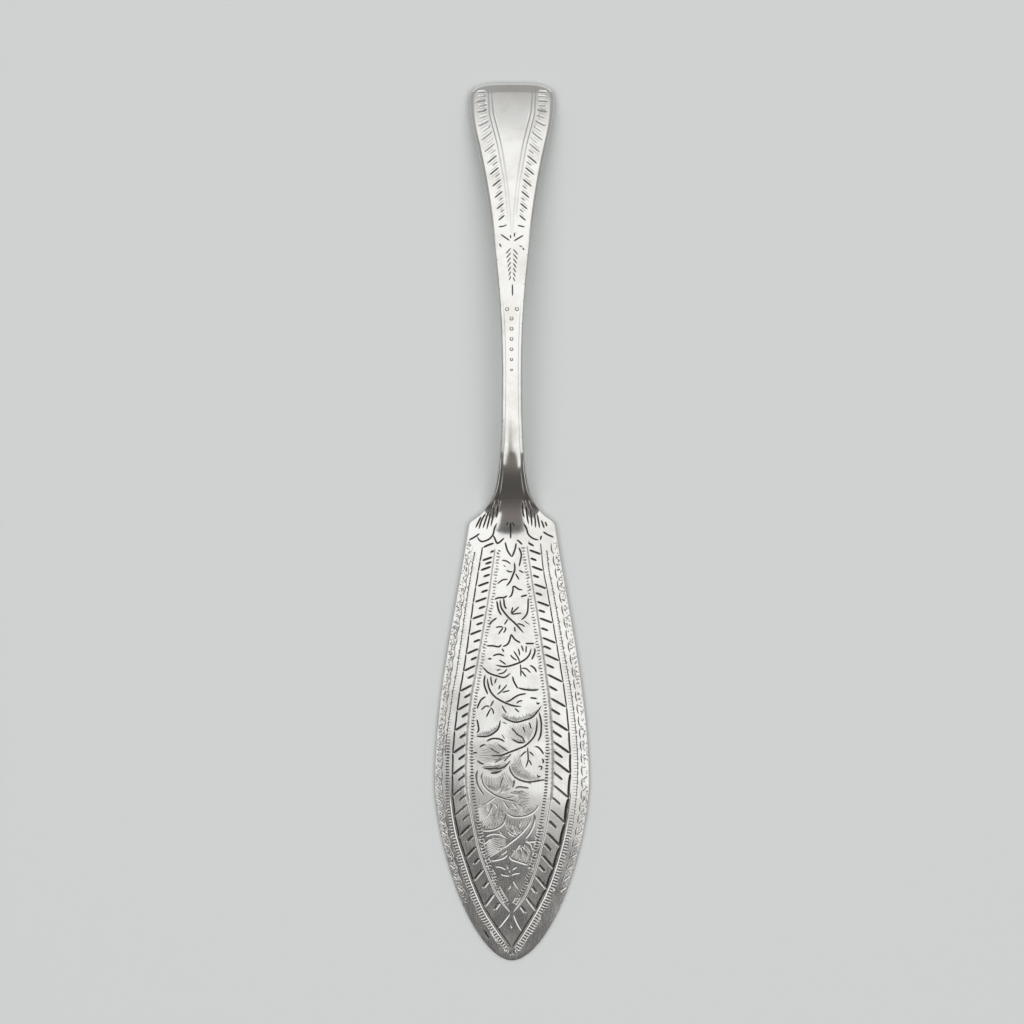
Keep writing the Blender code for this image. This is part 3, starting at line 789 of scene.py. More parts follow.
class StageSettings(bpy.types.PropertyGroup):
    """Floor, light and camera"""

    floor: colour("Floor", "Colour of the plain floor", (0.576, 0.594, 0.588))
    floor_size: bpy.props.FloatProperty(
        name="Floor size", description="Width of the floor", default=6.0, subtype="DISTANCE", unit="LENGTH"
    )
    sky_tint: colour("Light tint", "Colour of the light and the pale walls", (1.0, 1.0, 0.99))
    room_tint: colour("Room tint", "Colour of the dark room", (1.0, 0.92, 0.86))
    left_slant: number("Left slant", "How much the light's edge slants on the left", 0.3)
    right_slant: number("Right slant", "How much the light's edge slants on the right", 0.38)
    wall_tilt: number("Wall tilt", "How much lower the pale walls stand past the tip", 0.13)
    ceiling: number("Ceiling", "Brightness of the ceiling beside the light", 0.18)
    shade: number("Shade", "Share of the ceiling's brightness that is left close to the light", 0.6)
    sky: number("Overhead light", "Brightness of the soft light above", 0.99)
    room: number("Room", "Brightness of the dark room low down", 0.045)
    far_wall: number("Far wall", "Brightness of the wall past the handle", 0.36)
    side_wall: number("Side walls", "Brightness of the walls beside the handle", 0.32)
    horizon: number("Horizon", "Brightness of the pale walls near the floor", 0.32)
    fill_power: bpy.props.FloatProperty(
        name="Fill", description="Power of the wide lamp that lights the floor", default=23.0, unit="POWER"
    )
    fill_height: length("Fill height", "Height of the wide lamp", 1500.0)
    fill_size: length("Fill size", "Width of the wide lamp", 2600.0)
    camera_height: length("Camera height", "Height of the camera above the floor", 420.0)
    camera_shift: length("Camera place", "How far past the shoulders the camera stands", 2.0)
    view_width: length("View width", "Width that the picture shows at the blade", 221.8)


def in_millimetres(group):
    """The group's sizes as plain numbers: lengths in millimetres, the rest as they are."""
    sizes = {}
    for name, kept in type(group).__annotations__.items():
        value = getattr(group, name)
        sizes[name] = value / MM if kept.keywords.get("unit") == "LENGTH" else value
    return sizes


def smooth_min(a, b, rounding):
    """The smaller of a and b, with the corner where they cross rounded off over the rounding."""
    blend = np.maximum(rounding - np.abs(a - b), 0.0) / rounding
    return np.minimum(a, b) - blend**2 * rounding / 4


def ease(start, end, share):
    """From start to end as share goes from 0 to 1, level at both ends: 3 share² - 2 share³."""
    share = np.clip(share, 0.0, 1.0)
    return start + (end - start) * share**2 * (3 - 2 * share)


def eased(change, y):
    """A value that eases from the first (y, value) of a change to the second, and is level past them."""
    (start, first), (end, last) = change
    return ease(first, last, (y - start) / (end - start))


def read_off(table, y):
    """A size read at y off a short table of (y, size) with rising y."""
    places, sizes = np.array(table, float).T
    return np.interp(y, places, sizes)


def soft_ramp(share, blend=0.3):
    """0 below -blend, share above blend, and a parabola between them."""
    curve = np.clip(share + blend, 0.0, 2 * blend) ** 2 / (4 * blend)
    return np.where(share > blend, share, curve)


def unit(vectors):
    """The vectors, each divided by its length."""
    return vectors / np.linalg.norm(vectors, axis=1)[:, None]


def path_length(path):
    """The sum of the lengths of a path's steps."""
    return np.hypot(*np.diff(path, axis=0).T).sum()


def even_steps(path, step):
    """The path read again at even steps of about this length, both ends kept."""
    along = np.concatenate([[0.0], np.cumsum(np.hypot(*np.diff(path, axis=0).T))])
    places = np.linspace(0.0, along[-1], max(int(round(along[-1] / step)), 1) + 1)
    return np.column_stack([np.interp(places, along, path[:, axis]) for axis in (0, 1)])


def smooth_path(points):
    """A smooth curve through given points, read CURVE_SAMPLES times between each two.

    Between two points it is a cubic whose slope at each is half the step between that point's neighbours.
    """
    known = np.asarray(points, float)
    padded = np.vstack([2 * known[0] - known[1], known, 2 * known[-1] - known[-2]])[:, None]
    before, start, end, after = padded[:-3], padded[1:-2], padded[2:-1], padded[3:]
    t = np.linspace(0.0, 1.0, CURVE_SAMPLES, endpoint=False)[None, :, None]
    curve = (
        2 * start
        + (end - before) * t
        + (2 * before - 5 * start + 4 * end - after) * t**2
        + (3 * start - before - 3 * end + after) * t**3
    ) / 2
    return np.vstack([curve.reshape(-1, 2), known[-1]])


def left_normals(path):
    """Unit normals to the left of an open path's direction."""
    along = np.gradient(path, axis=0)
    along /= np.hypot(*along.T)[:, None]
    return np.column_stack([-along[:, 1], along[:, 0]])


def mirrored(points):
    """The points on the other side of the centre line."""
    return np.asarray(points, float) * (-1.0, 1.0)


def strips(points, starts, ends, reach):
    """Pairs of index arrays, a strip of the plan at a time: its points, and the segments within reach."""
    low = np.minimum(starts[:, 1], ends[:, 1]) - reach
    high = np.maximum(starts[:, 1], ends[:, 1]) + reach
    rows = np.floor(points[:, 1] / STRIP)
    for row in np.unique(rows):
        near = np.flatnonzero((high >= row * STRIP) & (low <= (row + 1) * STRIP))
        if len(near):
            yield np.flatnonzero(rows == row), near


def to_segments(points, starts, ends):
    """Distances from every point to every segment, and the share along it of the nearest place."""
    along = ends - starts
    away = points[:, None] - starts[None]
    share = np.clip((away * along).sum(2) / (along**2).sum(1), 0.0, 1.0)
    return np.linalg.norm(away - share[:, :, None] * along, axis=2), share


class KnifeForm:
    """The knife's plain form in millimetres, before the engraving, as functions of the plan view."""

    def __init__(self, sizes):
        vars(self).update(in_millimetres(sizes))
        self.lap_end = self.lap_distance + self.lap_length
        self.rim_starts, _ = plate_outline(self, (-self.blade_length, self.handle_length))
        self.rim_ends = np.roll(self.rim_starts, -1, axis=0)

    def blade_half(self, d):
        """Half the blade's width: a cubic from the shoulder to the belly, then a rounded leaf tip.

        The tip's is the belly's × (1 - s^fullness)^roundness, where s runs from the belly to the tip.
        """
        s = np.clip(d / self.belly_distance, -SHOULDER_OVERLAP, 1.0)
        start, belly = self.shoulder_width / 2, self.blade_width / 2
        slope = self.side_slope * self.belly_distance
        body = (
            start * (2 * s**3 - 3 * s**2 + 1)
            + slope * (s**3 - 2 * s**2 + s)
            + belly * (3 * s**2 - 2 * s**3)
        )
        tip_length = self.blade_length + END_INSET - self.belly_distance
        s = np.clip((d - self.belly_distance) / tip_length, 0.0, 1.0)
        tip = belly * (1 - s**self.tip_fullness) ** self.tip_roundness
        return np.where(d < self.belly_distance, body, tip)

    def neck_half(self, d):
        """Half the neck's width: a flare, (1 - s)² / (1 + neck_flare s), that dies out at the waist."""
        s = np.clip(d / self.waist_distance, -SHOULDER_OVERLAP, 1.0)
        flare = (1 - s) ** 2 / (1 + self.neck_flare * s)
        return self.stem_width / 2 + (self.shoulder_width - self.stem_width) / 2 * flare

    def open_half(self, d):
        """Half the handle's width without its end corners: a parabola that opens to the full width."""
        s = np.maximum(d - self.waist_distance, 0.0) / self.flare_reach
        stem, full = self.stem_width / 2, self.handle_end_width / 2
        return smooth_min(stem + (full - stem) * s**2, full, self.flare_rounding)

    def half_width(self, y):
        """Half the knife's width at y, with the end's corners rounded as a superellipse."""
        corner_start = self.handle_length + END_INSET - self.corner_length
        into_corner = np.maximum(y - corner_start, 0.0) / self.corner_length
        square = np.maximum(1 - into_corner**self.end_squareness, 0.0) ** (1 / self.end_squareness)
        neck, blade = self.neck_half(y), self.blade_half(-y)
        half = smooth_min(blade, neck, self.shoulder_rounding)
        half = np.where(y < -self.shoulder_rounding, blade, half)
        half = np.where(y > self.shoulder_rounding, neck, half)
        return np.where(y > self.waist_distance, self.open_half(y) * square, half)

    def underside(self, x, y):
        """Height of the underside: flat under the blade, up through the neck, then an arch to the end."""
        lag = self.shoulder_lag * np.abs(x / (self.shoulder_width / 2)) ** 3
        rise = (y - lag + self.neck_rise_start) / self.neck_rise_length
        arch_share = (y - self.arch_distance) / (self.handle_length - self.arch_distance)
        return ease(0.0, self.arch_height * (1 - arch_share**2), rise)

    def thickness(self, y):
        """Thickness on the centre line, eased from place to place along the knife."""
        tip_share = (-y - self.belly_distance) / (self.blade_length - self.belly_distance)
        neck_share = (y - self.neck_distance) / (self.waist_distance - self.neck_distance)
        end_share = (y - self.waist_distance) / (self.handle_length - self.waist_distance)
        return np.select(
            [y < -self.belly_distance, y < 0, y < self.neck_distance, y < self.waist_distance],
            [
                ease(self.belly_thickness, self.tip_thickness, tip_share),
                ease(self.heel_thickness, self.belly_thickness, -y / self.belly_distance),
                ease(self.heel_thickness, self.neck_thickness, y / self.neck_distance),
                ease(self.neck_thickness, self.waist_thickness, neck_share),
            ],
            ease(self.waist_thickness, self.end_thickness, end_share),
        )

    def dome(self, x, y):
        """Drop of the domed top beside the centre line: a parabola over the belly's or handle's width."""
        blade = self.blade_dome * (x / (self.blade_width / 2)) ** 2
        handle = self.handle_crown(y) * (x / np.maximum(self.open_half(y), self.neck_half(y))) ** 2
        return ease(blade, handle, y / self.neck_distance)

    def handle_crown(self, y):
        """Drop of the handle's top at its edge, from the stem to the wide end."""
        return ease(self.stem_dome, self.handle_dome, (y - OPENING_START) / OPENING_LENGTH)

    def rim_height(self, y):
        """Height of the rim's wall before its bevels."""
        return self.thickness(y) - ease(self.blade_dome, self.handle_crown(y), y / self.neck_distance)

    def lip(self, y):
        """How far the top turns down at the end: a slope that steepens a little."""
        into = np.maximum((y - (self.handle_length - self.lip_length)) / self.lip_length, 0.0)
        return self.lip_drop * ((1 - LIP_CURL) * into + LIP_CURL * into**2)

    def waves(self, x, y):
        """Slow unevenness of a hand-finished plate: crossing sine waves, never above the plain form."""
        total = sum(np.sin(across * x + along * y + start) for across, along, start in WAVES)
        return self.unevenness * (total / len(WAVES) - 1)

    def rim_distance(self, points):
        """Distance in the plan to the knife's outline, up to RIM_REACH."""
        distance = np.full(len(points), RIM_REACH)
        for mine, near in strips(points, self.rim_starts, self.rim_ends, RIM_REACH):
            away, _ = to_segments(points[mine], self.rim_starts[near], self.rim_ends[near])
            distance[mine] = np.minimum(distance[mine], away.min(axis=1))
        return distance

    def edge_round(self, distance, y):
        """Drop of the worn, quarter-round edge at this distance from it."""
        radius = ease(self.blade_rounding, self.handle_rounding, y / self.neck_distance)
        radius = np.minimum(radius, ROUNDING_LIMIT * self.rim_height(y))
        return radius - np.sqrt(np.maximum(radius**2 - np.maximum(radius - distance, 0.0) ** 2, 0.0))

    def bevel(self, distance, y):
        """Drop of the rim's bevel at this distance from the edge: a straight slope with a soft crest."""
        to_handle = y / self.neck_distance
        width = ease(self.blade_bevel_width, self.handle_bevel_width, to_handle)
        drop = ease(self.stem_bevel_drop, self.handle_bevel_drop, (y - OPENING_START) / OPENING_LENGTH)
        drop = ease(self.blade_bevel_drop, drop, to_handle)
        return np.minimum(drop, BEVEL_LIMIT * self.rim_height(y)) * soft_ramp((width - distance) / width)

    def top(self, points):
        """Height of the finished top: underside, thickness, dome, lip, waves, bevel and worn edge."""
        x, y = points.T
        distance = self.rim_distance(points)
        plain = self.underside(x, y) + self.thickness(y) - self.dome(x, y) - self.lip(y)
        return plain + self.waves(x, y) - self.bevel(distance, y) - self.edge_round(distance, y)

    def under(self, points):
        """Height of the finished underside, with its rounded edge."""
        x, y = points.T
        return self.underside(x, y) + self.edge_round(self.rim_distance(points), y)

    def lap(self, points):
        """Height of the lap's mid surface, halfway through the neck."""
        x, y = points.T
        return self.underside(x, y) + self.thickness(y) / 2


def plate_outline(form, breaks):
    """The knife's outline from the first break to the last, anticlockwise, with corners on every break.

    The second result gives, for each break, the places of its right-hand and left-hand points in it.
    """
    stretches, count, rights = [], 0, []
    for start, end in zip(breaks, breaks[1:]):
        y = start + (end - start) * (1 - np.cos(np.linspace(0.0, np.pi, OUTLINE_SAMPLES))) / 2
        steps = even_steps(np.column_stack([form.half_width(y), y]), EDGE_STEP)
        stretches.append(steps[:-1])
        rights.append(count)
        count += len(steps) - 1
    last = np.array([[float(form.half_width(np.float64(breaks[-1]))), breaks[-1]]])
    right = np.vstack(stretches + [last])
    rights.append(count)
    high_cap = even_steps(np.vstack([right[-1], mirrored(right[-1])]), EDGE_STEP)[1:-1]
    low_cap = even_steps(np.vstack([mirrored(right[0]), right[0]]), EDGE_STEP)[1:-1]
    outline = np.vstack([right, high_cap, mirrored(right[::-1]), low_cap])
    left_end = 2 * len(right) + len(high_cap) - 1
    return outline, {y: (place, left_end - place) for y, place in zip(breaks, rights)}


def plan_points(form, outline, ends, spacing, rows):
    """Loose points inside the outline: a staggered grid, and rows that follow the rim."""
    low, high = ends
    x = np.arange(-form.blade_width / 2, form.blade_width / 2, spacing)
    y = np.arange(low, high, spacing * math.sqrt(3) / 2)
    grid = np.stack(np.meshgrid(x, y), axis=2)
    grid[1::2, :, 0] += spacing / 2
    grid = grid.reshape(-1, 2)
    ahead = np.roll(outline, -1, axis=0) - np.roll(outline, 1, axis=0)
    inward = np.column_stack([-ahead[:, 1], ahead[:, 0]]) / np.hypot(*ahead.T)[:, None]
    points = np.vstack([grid] + [outline + inward * row for row in rows])
    wide = np.abs(points[:, 0]) < form.half_width(points[:, 1]) - rows[0] / 2
    tall = (points[:, 1] > low + rows[0]) & (points[:, 1] < high - rows[0])
    points = points[wide & tall]
    clear = form.rim_distance(points) > rows[0] / 2
    return points[clear]


def cut_lines(cuts, first):
    """Every cut's bed line and its two lips, as points and edges numbered from first."""
    points, edges = [], []
    for path, half, *_ in cuts:
        count = len(path)
        across = left_normals(path) * half[:, None]
        points += [path, (path + across)[1:-1], (path - across)[1:-1]]
        bed = first + np.arange(count)
        left = np.concatenate([bed[:1], first + count + np.arange(count - 2), bed[-1:]])
        right = np.concatenate([bed[:1], first + 2 * count - 2 + np.arange(count - 2), bed[-1:]])
        edges += [np.column_stack([line[:-1], line[1:]]) for line in (bed, left, right)]
        first += 3 * count - 4
    return points, edges


def cut_depths(points, cuts, stain_depth):
    """Depth and stain of the engraving at each plan point.

    The depth is the deepest of slope × (half width - distance) over all cuts.  The stain is that cut's own
    darkness, and grows with the depth up to stain_depth.
    """
    depth, stain = np.zeros(len(points)), np.zeros(len(points))
    if not cuts:
        return depth, stain
    starts = np.vstack([cut.path[:-1] for cut in cuts])
    ends = np.vstack([cut.path[1:] for cut in cuts])
    start_half = np.concatenate([cut.half[:-1] for cut in cuts])
    end_half = np.concatenate([cut.half[1:] for cut in cuts])
    slope = np.concatenate([np.full(len(cut.path) - 1, cut.slope) for cut in cuts])
    dark = np.concatenate([np.full(len(cut.path) - 1, cut.dark) for cut in cuts])
    for mine, near in strips(points, starts, ends, start_half.max()):
        away, share = to_segments(points[mine], starts[near], ends[near])
        half = start_half[near] + (end_half - start_half)[near] * share
        found = slope[near] * (half - away)
        deepest = found.argmax(axis=1)
        depth[mine] = np.maximum(found[np.arange(len(mine)), deepest], 0.0)
        stain[mine] = dark[near][deepest] * np.minimum(depth[mine] / stain_depth, 1.0)
    return depth, stain


def triangulate(form, outline, loose, lines, edges):
    """Even triangles over the plan inside the outline, along all the edges; its points come first."""
    count = len(outline)
    ring = np.column_stack([np.arange(count), np.roll(np.arange(count), -1)])
    points = np.vstack([outline] + lines + [loose])
    edges = np.vstack([ring] + edges)
    found, _, faces, *_ = delaunay_2d_cdt(points.tolist(), edges.tolist(), [], 1, WELD, False)
    plan, faces = np.array([tuple(p) for p in found]), np.array(faces)
    middle = plan[faces].mean(axis=1)
    faces = faces[np.abs(middle[:, 0]) < form.half_width(middle[:, 1])]
    a, b, c = (plan[faces[:, corner]] for corner in range(3))
    turned = np.cross(b - a, c - a) < 0
    faces[turned] = faces[turned][:, ::-1]
    return plan, faces


def slope_normals(height, points):
    """Unit normals of the surface z = height(x, y), from its slopes over a small step."""
    slopes = [
        (height(points + step) - height(points - step)) / (2 * SLOPE_STEP)
        for step in (np.array([SLOPE_STEP, 0.0]), np.array([0.0, SLOPE_STEP]))
    ]
    return unit(np.column_stack([-slopes[0], -slopes[1], np.ones(len(points))]))


def face_normals(points, faces):
    """Unit normals of the triangles, from the cross product of two sides."""
    a, b, c = (points[faces[:, corner]] for corner in range(3))
    normals = np.cross(b - a, c - a)
    return normals / np.maximum(np.linalg.norm(normals, axis=1), TINY)[:, None]


def wall_normals(outline):
    """Unit normals of the plate's wall, at the start and at the end of each of the outline's steps.

    Two steps share the mean of their normals, unless they meet at more than CORNER_ANGLE.
    """
    ahead = np.roll(outline, -1, axis=0) - outline
    ahead /= np.hypot(*ahead.T)[:, None]
    outward = np.column_stack([ahead[:, 1], -ahead[:, 0], np.zeros(len(outline))])
    before = np.roll(outward, 1, axis=0)
    smooth = (outward * before).sum(1)[:, None] > math.cos(CORNER_ANGLE)
    starts = np.where(smooth, outward + before, outward)
    ends = np.roll(np.where(smooth, outward + before, before), -1, axis=0)
    return unit(starts), unit(ends)


def step_lines(form, step, crossings, first):
    """Two lines across the plan, just before and just after a step in the height, tied to the outline."""
    points, edges = [], []
    for y in (step - SEAM_GAP, step + SEAM_GAP):
        right, left = crossings[y]
        half = float(form.half_width(np.float64(y)))
        inner = even_steps(np.array([[half, y], [-half, y]]), EDGE_STEP)[1:-1]
        chain = np.concatenate([[right], first + np.arange(len(inner)), [left]])
        points.append(inner)
        edges.append(np.column_stack([chain[:-1], chain[1:]]))
        first += len(inner)
    return points, edges


class Side(NamedTuple):
    """One side of a plate: its height function, where along Y that jumps, if it does, and its cuts."""

    height: object
    step: float = None
    cuts: tuple = ()


class Tarnish(NamedTuple):
    """The depth at which a cut is fully stained, how dark the rim is, and how far in its stain dies out."""

    depth: float = 1.0
    # How dark the rim is painted: tarnish, and painted shade for the dark edge line
    edge_stain: float = 0.0
    edge_reach: float = 1.0


def plate_side(form, side, outline, crossings, ends, mesh, tarnish):
    """One side of a plate, as points, triangles, the normals at their corners, and the points' stain with
    the painted rim shade.

    The surface is shaded by its own slopes, and the walls of the cuts and of the step by their facets.
    """
    count = len(outline)
    lines, edges = ([], []) if side.step is None else step_lines(form, side.step, crossings, count)
    more_lines, more_edges = cut_lines(side.cuts, count + sum(map(len, lines)))
    loose = plan_points(form, outline, ends, *mesh)
    plan, faces = triangulate(form, outline, loose, lines + more_lines, edges + more_edges)
    depth, stain = cut_depths(plan, side.cuts, tarnish.depth)
    # Painted shade with tarnish along the rim: darkest at the edge, gone at edge_reach
    near_rim = np.maximum(1 - form.rim_distance(plan) / tarnish.edge_reach, 0.0)
    points = np.column_stack([plan, side.height(plan) - depth])
    normals = slope_normals(side.height, plan)[faces]
    sharp = depth[faces].max(axis=1) > WELD
    if side.step is not None:
        sharp |= np.abs(plan[faces, 1] - side.step).max(axis=1) < 2 * SEAM_GAP
    normals[sharp] = face_normals(points, faces)[sharp][:, None]
    return points, faces, normals, np.maximum(stain, tarnish.edge_stain * near_rim)


def make_plate(name, form, ends, top, under, tarnish=Tarnish()):
    """A closed plate over the plan between two ends along Y: a top, an underside and the wall between."""
    steps = [side.step for side in (top, under) if side.step is not None]
    breaks = [ends[0]] + [step + gap for step in steps for gap in (-SEAM_GAP, SEAM_GAP)] + [ends[1]]
    outline, crossings = plate_outline(form, breaks)
    count = len(outline)
    upper, lower = (
        plate_side(form, side, outline, crossings, ends, mesh, tarnish)
        for side, mesh in ((top, TOP_MESH), (under, UNDER_MESH))
    )
    wall_starts, wall_ends = wall_normals(outline)
    on_rim = form.rim_distance(outline) < WELD * 10
    for _, faces, normals, _ in (upper, lower):
        on_wall = faces < count
        on_wall[on_wall] = on_rim[faces[on_wall]]
        normals[on_wall] = wall_starts[faces[on_wall]]
    shift = len(upper[0])
    ring = np.arange(count)
    after = np.roll(ring, -1)
    wall = np.column_stack([ring + shift, after + shift, after, ring])
    wall_corners = np.stack([wall_starts, wall_ends, wall_ends, wall_starts], axis=1)
    corners = upper[2], -lower[2][:, ::-1], wall_corners
    points = np.vstack([upper[0], lower[0]]) * MM
    faces = upper[1].tolist() + (lower[1][:, ::-1] + shift).tolist() + wall.tolist()
    mesh = bpy.data.meshes.new(name)
    mesh.from_pydata(points.tolist(), [], faces, shade_flat=False)
    mesh.normals_split_custom_set(np.vstack([normals.reshape(-1, 3) for normals in corners]).tolist())
    # The stain attribute holds tarnish in the cuts, and tarnish with painted shade along the rim
    stained = mesh.attributes.new("stain", "FLOAT", "POINT")
    stained.data.foreach_set("value", np.append(upper[3], lower[3]).astype(np.float32))
    piece = bpy.data.objects.new(name, mesh)
    bpy.context.scene.collection.objects.link(piece)
    return piece


class Cut(NamedTuple):
    """One engraved line: its path, half its width along it, its walls' slope and its bed's darkness."""

    path: np.ndarray
    half: np.ndarray
    slope: float
    dark: float


def stroke(points, width, slope, dark=1.0, step=0.35, fullness=2.0, roundness=1.0, curved=True):
    """A cut along the points, in LEAST_STEPS steps or more.

    Half its width is width / 2 × (1 - |t|^fullness)^roundness, where t runs from -1 to 1 along the path.
    """
    path = smooth_path(points) if curved else np.asarray(points, float)
    whole = path_length(path)
    path = even_steps(path, whole / round(max(whole / step, LEAST_STEPS)))
    t = np.linspace(-1.0, 1.0, len(path))
    return Cut(path, width / 2 * (1 - np.abs(t) ** fullness) ** roundness, slope, dark)


def strokes(drawing, width, slope, **shape):
    """A cut for every line of a drawing, all of one width."""
    return [stroke(points, width, slope, **shape) for points in drawing]


def straight_strokes(starts, ends, widths, slopes, darks, **shape):
    """Straight cuts, one from each start to its end, with sizes of their own or in common."""
    sizes = [np.broadcast_to(size, len(starts)) for size in (widths, slopes, darks)]
    return [
        stroke((start, end), *size, curved=False, **shape)
        for start, end, *size in zip(starts, ends, *sizes)
    ]


def rungs(starts, ends, widths, slopes, darks=1.0):
    """Short straight cuts with round ends."""
    return straight_strokes(starts, ends, widths, slopes, darks, fullness=4.0, roundness=0.5)


def dots(centres, width, slope):
    """Round dimples: cuts as long as they are wide."""
    half = np.array([0.0, width / 2])
    return straight_strokes(centres - half, centres + half, width, slope, 1.0, roundness=0.5)


def rim_path(form, end, step):
    """The blade's rim from the heel to y = end, in even steps, and its normals, which point outward."""
    y = np.linspace(RIM_START, end, RIM_SAMPLES)
    rim = even_steps(np.column_stack([form.half_width(y), y]), step)
    return rim, left_normals(rim)


def flecks(border, form, graver, chance):
    """Short stray cuts scattered over a band inside the rim."""
    near, far, count = border.flecks
    y = chance.uniform(*FLECK_SPAN, count)
    middles = np.column_stack([form.half_width(y) - chance.uniform(near, far, count), y]) * border.mirror
    turns = chance.uniform(0.0, np.pi, count)
    halves = np.column_stack([np.cos(turns), np.sin(turns)]) * chance.uniform(*FLECK_HALF, (count, 1))
    return rungs(middles - halves, middles + halves, widths=0.22, slopes=graver["wall_slope"], darks=0.45)


def fan(lines, dark, graver, chance):
    """Strokes side by side, from the first line through the others to the last, with ragged outer ends."""
    ends = [smooth_path(points) for points in np.array(lines).swapaxes(0, 1)]
    sizes = [path_length(path) for path in ends]
    count = max(int(round(max(sizes) / graver["fan_pitch"])), 2)
    drawing = np.stack([even_steps(path, size / count) for path, size in zip(ends, sizes)], axis=1)
    drawing[:, 0] += (drawing[:, 1] - drawing[:, 0]) * chance.uniform(*FAN_RAGGED, (len(drawing), 1))
    return strokes(drawing, graver["fan_width"], graver["fan_slope"], dark=dark, step=0.5, fullness=4.0)


def hatching(edge, reach, graver, chance):
    """Fine strokes from a leaf's lower edge up into the leaf, as a graver shades.

    A stroke's length is reach × the sine of its place along the edge × a random share.
    """
    feet = even_steps(smooth_path(edge), graver["hatch_pitch"])
    upward = left_normals(feet)
    upward *= np.sign(upward[:, 1:])
    swell = np.sin(np.linspace(HATCH_TAPER, np.pi - HATCH_TAPER, len(feet)))
    lengths = reach * swell * chance.uniform(*HATCH_LENGTHS, len(feet))
    tips = feet + (upward + HATCH_LEAN) * lengths[:, None]
    return straight_strokes(feet, tips, graver["hatch_width"], graver["wall_slope"], darks=0.7)


def feather_reach(x, y, inward, groove):
    """How far each stroke runs from its foot to just short of the groove, found by halving the error."""
    reach = np.zeros(len(y))
    for _ in range(REACH_TRIES):
        inner = np.interp(y + reach * inward[:, 1], groove[:, 1], groove[:, 0])
        reach += 0.5 * ((x - inner - GROOVE_GAP) / -inward[:, 0] - reach)
    return reach[:, None]


def feather_strokes(border, graver):
    """Long and short slanted strokes of a feather border.

    Each long stroke rises inward from its foot on the line and stops short of the groove, and each short
    one stands beside the groove halfway to the next long one.  Past the belly a thin dark cut runs above
    each of them.
    """
    slope = graver["wall_slope"]
    line, groove = smooth_path(border.line)[::-1], smooth_path(border.groove)[::-1]
    feet = np.array(border.feet)
    middles = (feet + np.append(feet[1:], feet[-1] - LAST_STEP)) / 2
    foot_gaps = eased(((-8, border.foot_gap), (-33, 0.1)), feet)[:, None]
    cuts = []
    for y, gaps in ((feet, foot_gaps), (middles, None)):
        angle = graver["feather_angle"] + graver["feather_turn"] * np.maximum(TURN_START - y, 0.0)
        inward = np.column_stack([-np.cos(angle), np.sin(angle)])
        x = np.interp(y, line[:, 1], line[:, 0])
        points = np.column_stack([x, y])
        reach = feather_reach(x, y, inward, groove)
        starts = (points + inward * (SHORT_START * reach if gaps is None else gaps)) * border.mirror
        ends = (points + inward * reach) * border.mirror
        widths = graver["feather_width"] * eased(FEATHER_SWELL, y)
        cuts += straight_strokes(starts, ends, widths, slope, eased(FEATHER_FADE, y), fullness=7.0)
        above = np.column_stack([inward[:, 1], -inward[:, 0]]) * border.mirror * SHADE_OFFSET
        past = y < SHADE_START
        cuts += rungs((starts + above)[past], (ends + above)[past], widths=0.3, slopes=slope, darks=0.9)
    return cuts


def feather_line(border, graver):
    """The line of a feather border, cut in slightly hollow stretches from foot to foot.

    Past the belly a fine bright line runs beside it, on its outer side, to just before the tip.
    """
    line = smooth_path(border.line)
    turns = np.concatenate([line[:1, 1], border.feet, line[-1:, 1]])
    bow = np.sin(np.linspace(0.0, np.pi, STRETCH_POINTS))
    cuts = []
    for start, end in zip(turns, turns[1:]):
        y = np.linspace(start + STRETCH_GAP, end - STRETCH_GAP, STRETCH_POINTS)
        width = float(read_off(border.line_width, (start + end) / 2))
        hollow = (LEAST_HOLLOW + HOLLOW_GROWTH * max(width - HOLLOW_WIDTH, 0.0)) * bow
        path = np.column_stack([np.interp(y, line[::-1, 1], line[::-1, 0]) - hollow, y])
        dark = float(eased(LINE_FADE, start))
        cuts.append(stroke(path * border.mirror, width, graver["wall_slope"], dark, fullness=9.0))
    bright = (line + left_normals(line) * BRIGHT_OFFSET)[line[:, 1] < BRIGHT_LINES][:-4] * border.mirror
    return cuts + [stroke(bright, BRIGHT_WIDTH, BRIGHT_SLOPE, dark=0.0, fullness=12.0, curved=False)]


def panel_groove(border, graver):
    """The groove round the panel: wide and stained as far as the belly, and a narrow line past it."""
    slope, dark = graver["soft_slope"], border.groove_dark
    path = even_steps(smooth_path(border.groove), GROOVE_STEP)
    wide, narrow = path[path[:, 1] > GROOVE_END], path[path[:, 1] < BRIGHT_LINES] * border.mirror
    half = read_off(GROOVE_WIDTH, wide[:, 1]) / 2
    half[[0, -1]] = 0.0
    return [
        Cut(wide * border.mirror, half, slope, dark),
        stroke(narrow, BRIGHT_WIDTH, slope, dark + NARROW_DARKER, fullness=12.0, curved=False),
    ]


def bead_row(border, graver):
    """A row of beads inside the groove, which grow into ticks towards the tip."""
    path = smooth_path(border.groove)
    beads = even_steps(path - left_normals(path) * BEAD_INSET, graver["bead_pitch"])[1:]
    beads = beads[beads[:, 1] > BEADS_END]
    y = beads[:, 1]
    inner = beads - left_normals(beads) * read_off(BEAD_LENGTH, y)[:, None]
    inner[:, 0] = np.maximum(inner[:, 0], BEAD_CLEAR)
    ends = inner * border.mirror, beads * border.mirror
    return rungs(*ends, eased(BEAD_SWELL, y), graver["wall_slope"], eased(BEAD_DARK, y))


